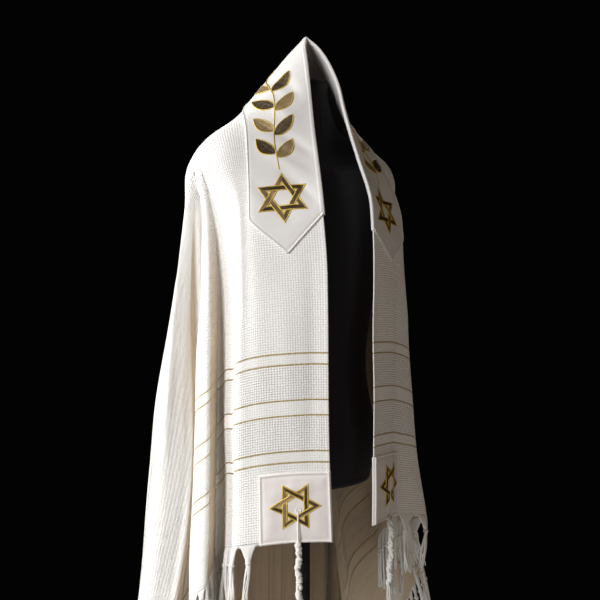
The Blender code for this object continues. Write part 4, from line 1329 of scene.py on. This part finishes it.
STRIPES = (0.270, 0.254, 0.203, 0.181, 0.130, 0.114)  # above the hem
DOTTED_BANDS = ((0.254, 0.203), (0.181, 0.130))
PLAIN_BANDS = ((0.270, 0.254), (0.203, 0.181), (0.130, 0.114))
RIB_PITCH, RIBS_START, RIBS_FULL = 0.0046, 0.17, 0.30  # ribs and where in t they begin
STITCHED, STITCHED_HALF, STITCH_PITCH = 0.0042, 0.0007, 0.0028  # the satin's sewn line
HIGHLIGHT_EDGE = 0.0028  # width of the painted highlight along the satin's piped border

# Shares: strength of the weave, more in dotted bands and less in plain ones, painted shade of its
# hollows and of the ribs, height of the ribs, and where the cloth counts as facing the stand and is
# painted tan
WEAVE_STRENGTH, DOTTED_GAIN, PLAIN_LOSS = 0.8, 0.35, 0.35
HOLLOW_SHADE, RIB_SHADE, RIB_HEIGHT, FACES_STAND = 0.19, 0.05, -0.35, (-0.05, -0.11)
# Shares: darkening of the stitched line, the painted highlight along the satin's edge and the
# spread of its roughness; the middle of the embroidery's painted sheen, the threads' random shade,
# the painted shade between plies and in the knit's hollows, and how much of the steel is rubbed
SEAM_SHADE, EDGE_HIGHLIGHT, SATIN_SPREAD = 0.3, 0.25, 0.06
PAINTED_SHEEN_MIDDLE, THREAD_SHADE, PLY_SHADE, KNIT_SHADE, RUB_SHADE = 0.22, 0.45, 0.22, 0.5, 0.35

# Height of the relief of each finish
WOOL_BUMP, SATIN_BUMP, GOLD_BUMP = 0.0008, 0.00006, 0.00012
YARN_BUMP, JERSEY_BUMP, STEEL_BUMP = 0.00018, 0.00012, 0.00015

# Thread pitches
METAL_THREAD, SATIN_THREAD, FILL_THREAD, CORD_THREAD = 0.0012, 0.0009, 0.0007, 0.0010
YARN_PLY, YARN_SLANT = 0.0011, 0.0022
JERSEY_ROWS, JERSEY_COLUMNS = 0.0011, 0.0014

# Linear colours: painted tan for light through the cloth and warm shade in its folds, painted
# shade in the hollows of its weave, lit metal thread
PAINTED_THROUGH_LIGHT, WEAVE_HOLLOW_SHADE = (0.66, 0.52, 0.37), (0.42, 0.36, 0.27)
LIT_METAL, LIT_BRONZE, LIT_GOLD = (0.78, 0.60, 0.28), (0.46, 0.32, 0.15), (0.52, 0.33, 0.05)
# The satin's stitched line, and the painted highlight along its piped edge
SATIN_SEAM, SATIN_EDGE_HIGHLIGHT = (0.40, 0.34, 0.28), (0.93, 0.92, 0.89)
# Painted shade in the hollows between the yarn's plies and in the jersey's knit
YARN_HOLLOW_SHADE, JERSEY_HOLLOW_SHADE = (0.45, 0.38, 0.28), (0.0012, 0.0012, 0.002)
# Worn steel where it is rubbed, and the floor
RUBBED_STEEL, FLOOR_COLOUR = (0.10, 0.10, 0.11), (0.60, 0.59, 0.57)


def within(tree, value, spans):
    """1 where a value lies in any of these spans of distance above the hem."""
    total = 0.0
    for high, low in spans:
        middle, half = HALF_LENGTH - (high + low) / 2, (high - low) / 2
        total = maths(tree, "ADD", maths(tree, "COMPARE", value, middle, half), total)
    return total


def wool_material(sizes):
    """Fine white wool in a waffle weave, with dotted bands and gold stripes by each hem.

    Its colour is painted tan where it faces the stand, standing in for light that comes through
    the cloth there and for warm shade in its folds. The hollows of its weave and its ribs are
    painted darker as shade.
    """
    made, tree, shader = new_material(
        "Shawl wool", Roughness=0.9, Sheen_Weight=0.25, Sheen_Roughness=0.5,
        Specular_IOR_Level=0.25, Subsurface_Weight=0.0)
    place, u, v = cloth_place(tree)
    row = maths(tree, "ABSOLUTE", u)
    half = sizes.stripe_width / 2
    dotted, plain, gold = (within(tree, row, spans) for spans in (
        DOTTED_BANDS, PLAIN_BANDS, [(d + half, d - half) for d in STRIPES]))
    woven, hollow_shading = placed(tree, "Waffle weave", Place=place, Row_pitch=sizes.weave_pitch,
                           Column_pitch=sizes.weave_pitch)
    strength = maths(tree, "MULTIPLY_ADD", dotted, DOTTED_GAIN, WEAVE_STRENGTH)
    strength = maths(tree, "SUBTRACT", strength, times(tree, plain, PLAIN_LOSS))
    ribs = times(tree, wave(tree, row, RIB_PITCH), fit(tree, v, RIBS_START, RIBS_FULL))
    # Painted shade in the hollows of the weave and along the ribs
    hollow_shading = times(tree, hollow_shading, times(tree, strength, HOLLOW_SHADE))
    hollow_shading = maths(tree, "MULTIPLY_ADD", ribs, RIB_SHADE, hollow_shading)
    base = mottle(tree, place, sizes.wool_colour, 7.0, 0.03)
    # Painted tan where the cloth faces the stand, for light through it and warm shade in its folds
    coords = node(tree, "ShaderNodeTexCoord").outputs
    flat = node(tree, "ShaderNodeVectorMath", {0: coords["Object"], 1: (1.0, 1.0, 0.0)},
                operation="MULTIPLY").outputs[0]
    away = node(tree, "ShaderNodeVectorMath", {0: coords["Normal"], 1: flat},
                operation="DOT_PRODUCT").outputs["Value"]
    base = blend(tree, fit(tree, away, *FACES_STAND), base, PAINTED_THROUGH_LIGHT)
    laid_height, shade = threads(tree, row, v, METAL_THREAD)
    metal = blend(tree, shade, sizes.stripe_colour, LIT_METAL)
    feed(tree, shader, Roughness=fit(tree, gold, 0.0, 1.0, 0.9, 0.45),
         Base_Color=blend(tree, gold, blend(tree, hollow_shading, base, WEAVE_HOLLOW_SHADE), metal))
    height = maths(tree, "MULTIPLY_ADD", gold, laid_height, times(tree, woven, strength))
    bump(tree, shader, maths(tree, "MULTIPLY_ADD", ribs, RIB_HEIGHT, height), WOOL_BUMP)
    return made


def satin_material(name, colour, roughness):
    """Dull satin: fine threads along the piece, soft mottling, a darker stitched line and a painted
    highlight along its sewn border.
    """
    made, tree, shader = new_material(
        name, Sheen_Weight=0.35, Sheen_Roughness=0.4, Specular_IOR_Level=0.4)
    place, u, v = cloth_place(tree)
    height, shade = threads(tree, u, v, SATIN_THREAD)
    off = attribute(tree, "edge")
    stitch = fit(tree, wave(tree, maths(tree, "ADD", u, v), STITCH_PITCH), 0.4, 0.6, 0.25, 1.0)
    seam = times(tree, maths(tree, "COMPARE", off, STITCHED, STITCHED_HALF), stitch)
    # Painted highlight along the piped border, as if its edge caught the light
    edge = maths(tree, "LESS_THAN", off, HIGHLIGHT_EDGE)
    mixed = mottle(tree, place, colour, 24.0, 0.03)
    mixed = blend(tree, times(tree, seam, SEAM_SHADE), mixed, SATIN_SEAM)
    mixed = blend(tree, times(tree, edge, EDGE_HIGHLIGHT), mixed, SATIN_EDGE_HIGHLIGHT)
    ends = roughness - SATIN_SPREAD, roughness + SATIN_SPREAD
    feed(tree, shader, Base_Color=mixed, Roughness=fit(tree, shade, 0.0, 1.0, *ends))
    bump(tree, shader, height, SATIN_BUMP)
    return made


def embroidery_material(sizes):
    """Gold cord outlines and a bronze satin fill, painted lighter by each piece's painted sheen, as
    if its threads caught the light.
    """
    made, tree, shader = new_material("Gold embroidery", Specular_IOR_Level=0.3)
    _, u, v = cloth_place(tree)
    fill_height, fill_shade = threads(tree, u, v, FILL_THREAD)
    cord_height, cord_shade = threads(tree, v, u, CORD_THREAD)
    # Painted sheen: each bar or leaf's fill is painted lighter, towards lit bronze, as its threads
    # would catch the light
    lit = maths(tree, "SUBTRACT", attribute(tree, "painted_sheen"), PAINTED_SHEEN_MIDDLE)
    lit = maths(tree, "MULTIPLY_ADD", fill_shade, THREAD_SHADE, lit)
    lit = maths(tree, "MINIMUM", maths(tree, "MAXIMUM", lit, 0.0), 1.0)
    bronze = blend(tree, lit, sizes.bronze_colour, LIT_BRONZE)
    gold = blend(tree, cord_shade, sizes.gold_colour, LIT_GOLD)
    is_cord = maths(tree, "LESS_THAN", attribute(tree, "edge"), GOLD_CORD * 0.97)
    feed(tree, shader, Base_Color=blend(tree, is_cord, bronze, gold),
         Metallic=fit(tree, is_cord, 0.0, 1.0, 0.25, 0.45),
         Roughness=fit(tree, is_cord, 0.0, 1.0, 0.42, 0.36))
    bump(tree, shader, blend(tree, is_cord, fill_height, cord_height), GOLD_BUMP)
    return made


def yarn_material(name, colour):
    """Loose twisted yarn: slanting plies with painted shade between them, and a soft halo of fibre.
    """
    made, tree, shader = new_material(
        name, Roughness=0.85, Sheen_Weight=0.4, Sheen_Roughness=0.5, Specular_IOR_Level=0.25)
    _, u, v = cloth_place(tree)
    slanting = maths(tree, "MULTIPLY_ADD", v, YARN_SLANT, u)
    height, _ = threads(tree, v, slanting, YARN_PLY)
    shade = times(tree, fit(tree, height, 1.0, 0.0), PLY_SHADE)
    feed(tree, shader, Base_Color=blend(tree, shade, colour, YARN_HOLLOW_SHADE))
    bump(tree, shader, height, YARN_BUMP)
    return made


def jersey_material(sizes):
    """Near-black knitted jersey: fine columns of stitches over a soft mottle, with painted shade in
    the hollows of the knit.
    """
    made, tree, shader = new_material(
        "Form jersey", Roughness=0.82, Sheen_Weight=0.06, Sheen_Roughness=0.5,
        Specular_IOR_Level=0.3)
    place, _, _ = cloth_place(tree)
    height, hollow_shading = placed(tree, "Waffle weave", Place=place, Row_pitch=JERSEY_ROWS,
                            Column_pitch=JERSEY_COLUMNS)
    base = mottle(tree, place, sizes.jersey_colour, 60.0, 0.25)
    feed(tree, shader, Base_Color=blend(tree, times(tree, hollow_shading, KNIT_SHADE), base, JERSEY_HOLLOW_SHADE))
    bump(tree, shader, height, JERSEY_BUMP)
    return made


def steel_material(sizes):
    """Black powder-coated steel: a fine orange-peel grain, rubbed brighter here and there."""
    made, tree, shader = new_material("Stand steel", Metallic=0.6, Specular_IOR_Level=0.5)
    place = object_place(tree)
    worn = fit(tree, noise(tree, place, 22.0, 6.0), 0.58, 0.75)
    feed(tree, shader, Roughness=fit(tree, worn, 0.0, 1.0, 0.48, 0.30),
         Base_Color=blend(tree, times(tree, worn, RUB_SHADE), sizes.steel_colour, RUBBED_STEEL))
    bump(tree, shader, noise(tree, place, 700.0, 3.0), STEEL_BUMP)
    return made


def floor_material():
    """A plain pale floor with faint unevenness."""
    made, tree, shader = new_material("Studio floor", Roughness=0.8)
    feed(tree, shader, Base_Color=mottle(tree, object_place(tree), FLOOR_COLOUR, 3.0, 0.03))
    return made


# ---- Settings and operators -----------------------------------------------------------


def colour_setting(name, description, default):
    """A colour that the user may change, linear."""
    return bpy.props.FloatVectorProperty(name=name, description=description, default=default,
                                         subtype="COLOR", min=0.0, max=1.0)


def length_setting(name, description, default):
    """A length that the user may change, in metres."""
    return bpy.props.FloatProperty(name=name, description=description, default=default,
                                   min=0.0001, unit="LENGTH", precision=4)


class TallitCloth(bpy.types.PropertyGroup):
    """Weave, stripes and colours of the cloth and its trim."""

    wool_colour: colour_setting("Wool", "Colour of the shawl", (0.88, 0.85, 0.81))
    stripe_colour: colour_setting("Stripes", "Colour of the metallic stripes", (0.50, 0.34, 0.11))
    band_colour: colour_setting("Neckband", "Colour of the neckband's satin", (0.77, 0.735, 0.70))
    patch_colour: colour_setting("Patches", "Colour of the corner patches", (0.86, 0.79, 0.755))
    gold_colour: colour_setting("Gold", "Colour of the outlines", (0.85, 0.62, 0.13))
    bronze_colour: colour_setting("Bronze", "Colour of the satin fill", (0.035, 0.022, 0.010))
    yarn_colour: colour_setting("Yarn", "Colour of fringe and tzitzit", (0.88, 0.85, 0.80))
    weave_pitch: length_setting("Weave pitch", "From one thread row to the next", 0.0036)
    stripe_width: length_setting("Stripe width", "Width of a metallic stripe", 0.0022)


class TallitStand(bpy.types.PropertyGroup):
    """Colours of the dress form and its stand."""

    jersey_colour: colour_setting("Jersey", "Colour of the form's cover", (0.006, 0.006, 0.010))
    steel_colour: colour_setting("Steel", "Colour of the stand", (0.012, 0.012, 0.014))


class TallitStudio(bpy.types.PropertyGroup):
    """Distance of the camera and power of the lights."""

    camera_distance: bpy.props.FloatProperty(
        name="Camera distance", description="From the stand's axis", default=1.35, unit="LENGTH")
    camera_height: bpy.props.FloatProperty(
        name="Camera height", description="Above the floor", default=1.16, unit="LENGTH")
    camera_turn: bpy.props.FloatProperty(
        name="Camera turn", description="Round the stand, from the front",
        default=math.radians(-34), subtype="ANGLE")
    key_power: bpy.props.FloatProperty(
        name="Key light", description="Power of the main soft light", default=59.0, unit="POWER")
    fill_power: bpy.props.FloatProperty(
        name="Fill light", description="Power of the soft front light", default=11.5, unit="POWER")


class TALLIT_OT_shawl(bpy.types.Operator):
    """Build the draped shawl as one cloth"""

    bl_idname = "tallit.shawl"
    bl_label = "Shawl"

    def execute(self, context):
        finish = wool_material(context.scene.tallit_cloth)
        grids = [grid for side in SIDES for grid in shawl_grids(side)]
        shawl = add_piece("shawl", grids, finish, wall=CLOTH_WALL)
        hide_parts("shawl_front_right", "shawl_front_left", "shawl_side_right",
                    "shawl_side_left", "shawl_back")
        return {"FINISHED"}


class TALLIT_OT_neckband(bpy.types.Operator):
    """Build the satin neckband with its leaf sprays and stars"""

    bl_idname = "tallit.neckband"
    bl_label = "Neckband"

    def execute(self, context):
        sizes = context.scene.tallit_cloth
        satin = satin_material("Band satin", sizes.band_colour, 0.52)
        band = add_piece("neckband", [band_grid(side) for side in SIDES], satin)
        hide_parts("atarah")
        thread = embroidery_material(sizes)
        for side in SIDES:
            add_piece(f"neckband_spray_{side}", spray_grids(side), thread)
            star = star_grids(side, band_lift, BAND_STAR_CENTRE[side], *BAND_STAR)
            add_piece(f"neckband_star_{side}", star, thread)
        return {"FINISHED"}


class TALLIT_OT_patches(bpy.types.Operator):
    """Build the corner patches with their stars and eyelets"""

    bl_idname = "tallit.patches"
    bl_label = "Corner Patches"

    def execute(self, context):
        satin = satin_material("Patch satin", context.scene.tallit_cloth.patch_colour, 0.46)
        thread = bpy.data.materials["Gold embroidery"]
        for side in SIDES:
            for place in PLACES:
                grids = [patch_grid(side, place), eyelet_grid(side, place)]
                patch = add_piece(f"patch_{place}_{side}", grids, satin)
                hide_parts(f"corner_patch_{place}_{side}")
                centre = (PATCH_STAR_CENTRE[0], corner_t(place, PATCH_STAR_CENTRE[1]))
                star = star_grids(side, patch_lift, centre, *PATCH_STAR)
                add_piece(f"patch_star_{place}_{side}", star, thread)
        return {"FINISHED"}


class TALLIT_OT_fringe(bpy.types.Operator):
    """Build the knotted fringe of both short hems"""

    bl_idname = "tallit.fringe"
    bl_label = "Fringe"

    def execute(self, context):
        yarn = yarn_material("Fringe yarn", context.scene.tallit_cloth.yarn_colour)
        count = round((TASSEL_LAST - TASSEL_FIRST) / TASSEL_STEP)
        step = (TASSEL_LAST - TASSEL_FIRST) / count
        for k, side in enumerate(SIDES):
            chance = np.random.default_rng(11 + k)
            grids = []
            for j in range(count):
                grids += tassel_grids(side, TASSEL_FIRST + (j + 0.5) * step, chance)
            fringe = add_piece(f"knotted_fringe_{side}", grids, yarn)
            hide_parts(f"fringe_{side}")
        return {"FINISHED"}


class TALLIT_OT_tzitzit(bpy.types.Operator):
    """Build the four wound tzitzit"""

    bl_idname = "tallit.tzitzit"
    bl_label = "Tzitzit"

    def execute(self, context):
        yarn = yarn_material("Tzitzit yarn", context.scene.tallit_cloth.yarn_colour)
        chance = np.random.default_rng(5)
        for side in SIDES:
            for place in PLACES:
                grids = tzitzit_grids(side, place, chance)
                cord = add_piece(f"wound_tzitzit_{place}_{side}", grids, yarn)
                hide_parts(f"tzitzit_{place}_{side}")
                route = tzitzit_route(side, place)
        return {"FINISHED"}


class TALLIT_OT_form(bpy.types.Operator):
    """Build the jersey dress form and its neck cap"""

    bl_idname = "tallit.form"
    bl_label = "Dress Form"

    def execute(self, context):
        jersey = jersey_material(context.scene.tallit_stand)
        torso = add_piece("dress_form", [form_grid()], jersey)
        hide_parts("form_torso")
        cap = add_piece("neck_cap", [cap_grid()], jersey)
        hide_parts("form_neck_cap")
        return {"FINISHED"}


class TALLIT_OT_stand(bpy.types.Operator):
    """Build the collar, pole and round base"""

    bl_idname = "tallit.stand"
    bl_label = "Stand"

    def execute(self, context):
        steel = steel_material(context.scene.tallit_stand)
        for name, grid in stand_grids().items():
            made = add_piece(f"steel_{name}", [grid], steel)
            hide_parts(f"stand_{name}")
        return {"FINISHED"}


class TALLIT_OT_declare(bpy.types.Operator):
    bl_idname = "tallit.declare"
    bl_label = "Declare Cloth"

    def execute(self, context):
        return {"FINISHED"}


def aimed(name, data, place, at, **settings):
    """A light or camera at a place, its -Z towards a point."""
    for label, value in settings.items():
        setattr(data, label, value)
    made = bpy.data.objects.new(name, data)
    way = np.array(at, float) - np.array(place, float)
    made.rotation_euler = (math.pi / 2 + math.atan2(way[2], math.hypot(way[0], way[1])), 0,
                           math.atan2(-way[0], way[1]))
    made.location = place
    bpy.context.scene.collection.objects.link(made)
    return made


# A long lens, shifted a little to one side and down
CAMERA = {"lens": 51.48, "sensor_width": 36.0, "shift_x": -4 / 600, "shift_y": -7 / 600}
# Soft lights: place, height aimed at, then their other settings
LIGHTS = {
    "Key": ((-2.2, -0.50, 1.85), 1.15,
            {"shape": "RECTANGLE", "size": 0.9, "size_y": 1.6, "color": (0.965, 0.98, 1.0)}),
    "Side": ((-1.9, 1.5, 1.7), 1.1, {"energy": 70.0, "size": 1.2, "color": (1.0, 0.98, 0.95)}),
    "Fill": ((0.6, -2.6, 1.5), 1.1, {"size": 1.8, "color": (1.0, 0.86, 0.73)}),
    "Back": ((1.5, 2.2, 2.2), 1.1, {"energy": 24.0, "size": 1.8, "color": (0.97, 0.98, 1.0)}),
}
FLOOR_RADIUS = 1.2
BACKDROP = (0.0010, 0.0009, 0.0009)


class TALLIT_OT_stage(bpy.types.Operator):
    """Add the floor, soft lights, backdrop colour and camera"""

    bl_idname = "tallit.stage"
    bl_label = "Stage"

    def execute(self, context):
        studio = context.scene.tallit_studio
        turn, reach, height = studio.camera_turn, studio.camera_distance, studio.camera_height
        place = (math.sin(turn) * reach, -math.cos(turn) * reach, height)
        context.scene.camera = aimed("Camera", bpy.data.cameras.new("Camera"), place,
                                     (0, 0, height), **CAMERA)
        floor = bpy.data.objects.new("floor", bpy.data.meshes.new("floor"))
        a = np.linspace(0, TAU, 97)[:-1]
        ring = np.c_[np.cos(a) * FLOOR_RADIUS, np.sin(a) * FLOOR_RADIUS, 0 * a]
        floor.data.from_pydata(ring.tolist(), [], [list(range(len(a)))])
        floor.data.materials.append(floor_material())
        context.scene.collection.objects.link(floor)
        powers = {"Key": studio.key_power, "Fill": studio.fill_power}
        for name, (place, aim, settings) in LIGHTS.items():
            light = aimed(name, bpy.data.lights.new(name, "AREA"), place, (0, 0, aim), **settings)
            light.data.energy = powers.get(name, light.data.energy)
        world = bpy.data.worlds.new("Studio")
        world.use_nodes = True
        world.node_tree.nodes["Background"].inputs[0].default_value = solid(BACKDROP)
        context.scene.world = world
        context.scene.view_settings.view_transform = "Standard"
        return {"FINISHED"}


class TALLIT_PT_panel(bpy.types.Panel):
    """Lists the steps that build the shawl on its dress form"""

    bl_idname = "TALLIT_PT_panel"
    bl_label = "Tallit on Dress Form"
    bl_space_type = "VIEW_3D"
    bl_region_type = "UI"
    bl_category = "Tallit"

    def draw(self, context):
        for group_name in GROUPS:
            box = self.layout.box()
            settings = getattr(context.scene, group_name)
            for name in settings.__annotations__:
                box.prop(settings, name)
        for step in STEPS:
            self.layout.operator(step.bl_idname)


STEPS = (TALLIT_OT_stage, TALLIT_OT_tzitzit, TALLIT_OT_shawl, TALLIT_OT_neckband,
         TALLIT_OT_patches, TALLIT_OT_fringe, TALLIT_OT_form, TALLIT_OT_stand,
         TALLIT_OT_declare)
GROUPS = {"tallit_cloth": TallitCloth, "tallit_stand": TallitStand, "tallit_studio": TallitStudio}


def register():
    """Register the classes and hang the settings on the scene."""
    for kind in (*GROUPS.values(), *STEPS, TALLIT_PT_panel):
        bpy.utils.register_class(kind)
    for name, kind in GROUPS.items():
        setattr(bpy.types.Scene, name, bpy.props.PointerProperty(type=kind))


def unregister():
    """Take the settings off the scene and unregister the classes."""
    for name in GROUPS:
        delattr(bpy.types.Scene, name)
    for kind in (TALLIT_PT_panel, *STEPS[::-1], *GROUPS.values()):
        bpy.utils.unregister_class(kind)


def main():
    """Build everything in order."""
    register()
    for make in (make_weave_group, make_thread_group, make_mottle_group):
        make()
    for step in STEPS:
        family, name = step.bl_idname.split(".")
        getattr(getattr(bpy.ops, family), name)()


if __name__ == "__main__":
    main()
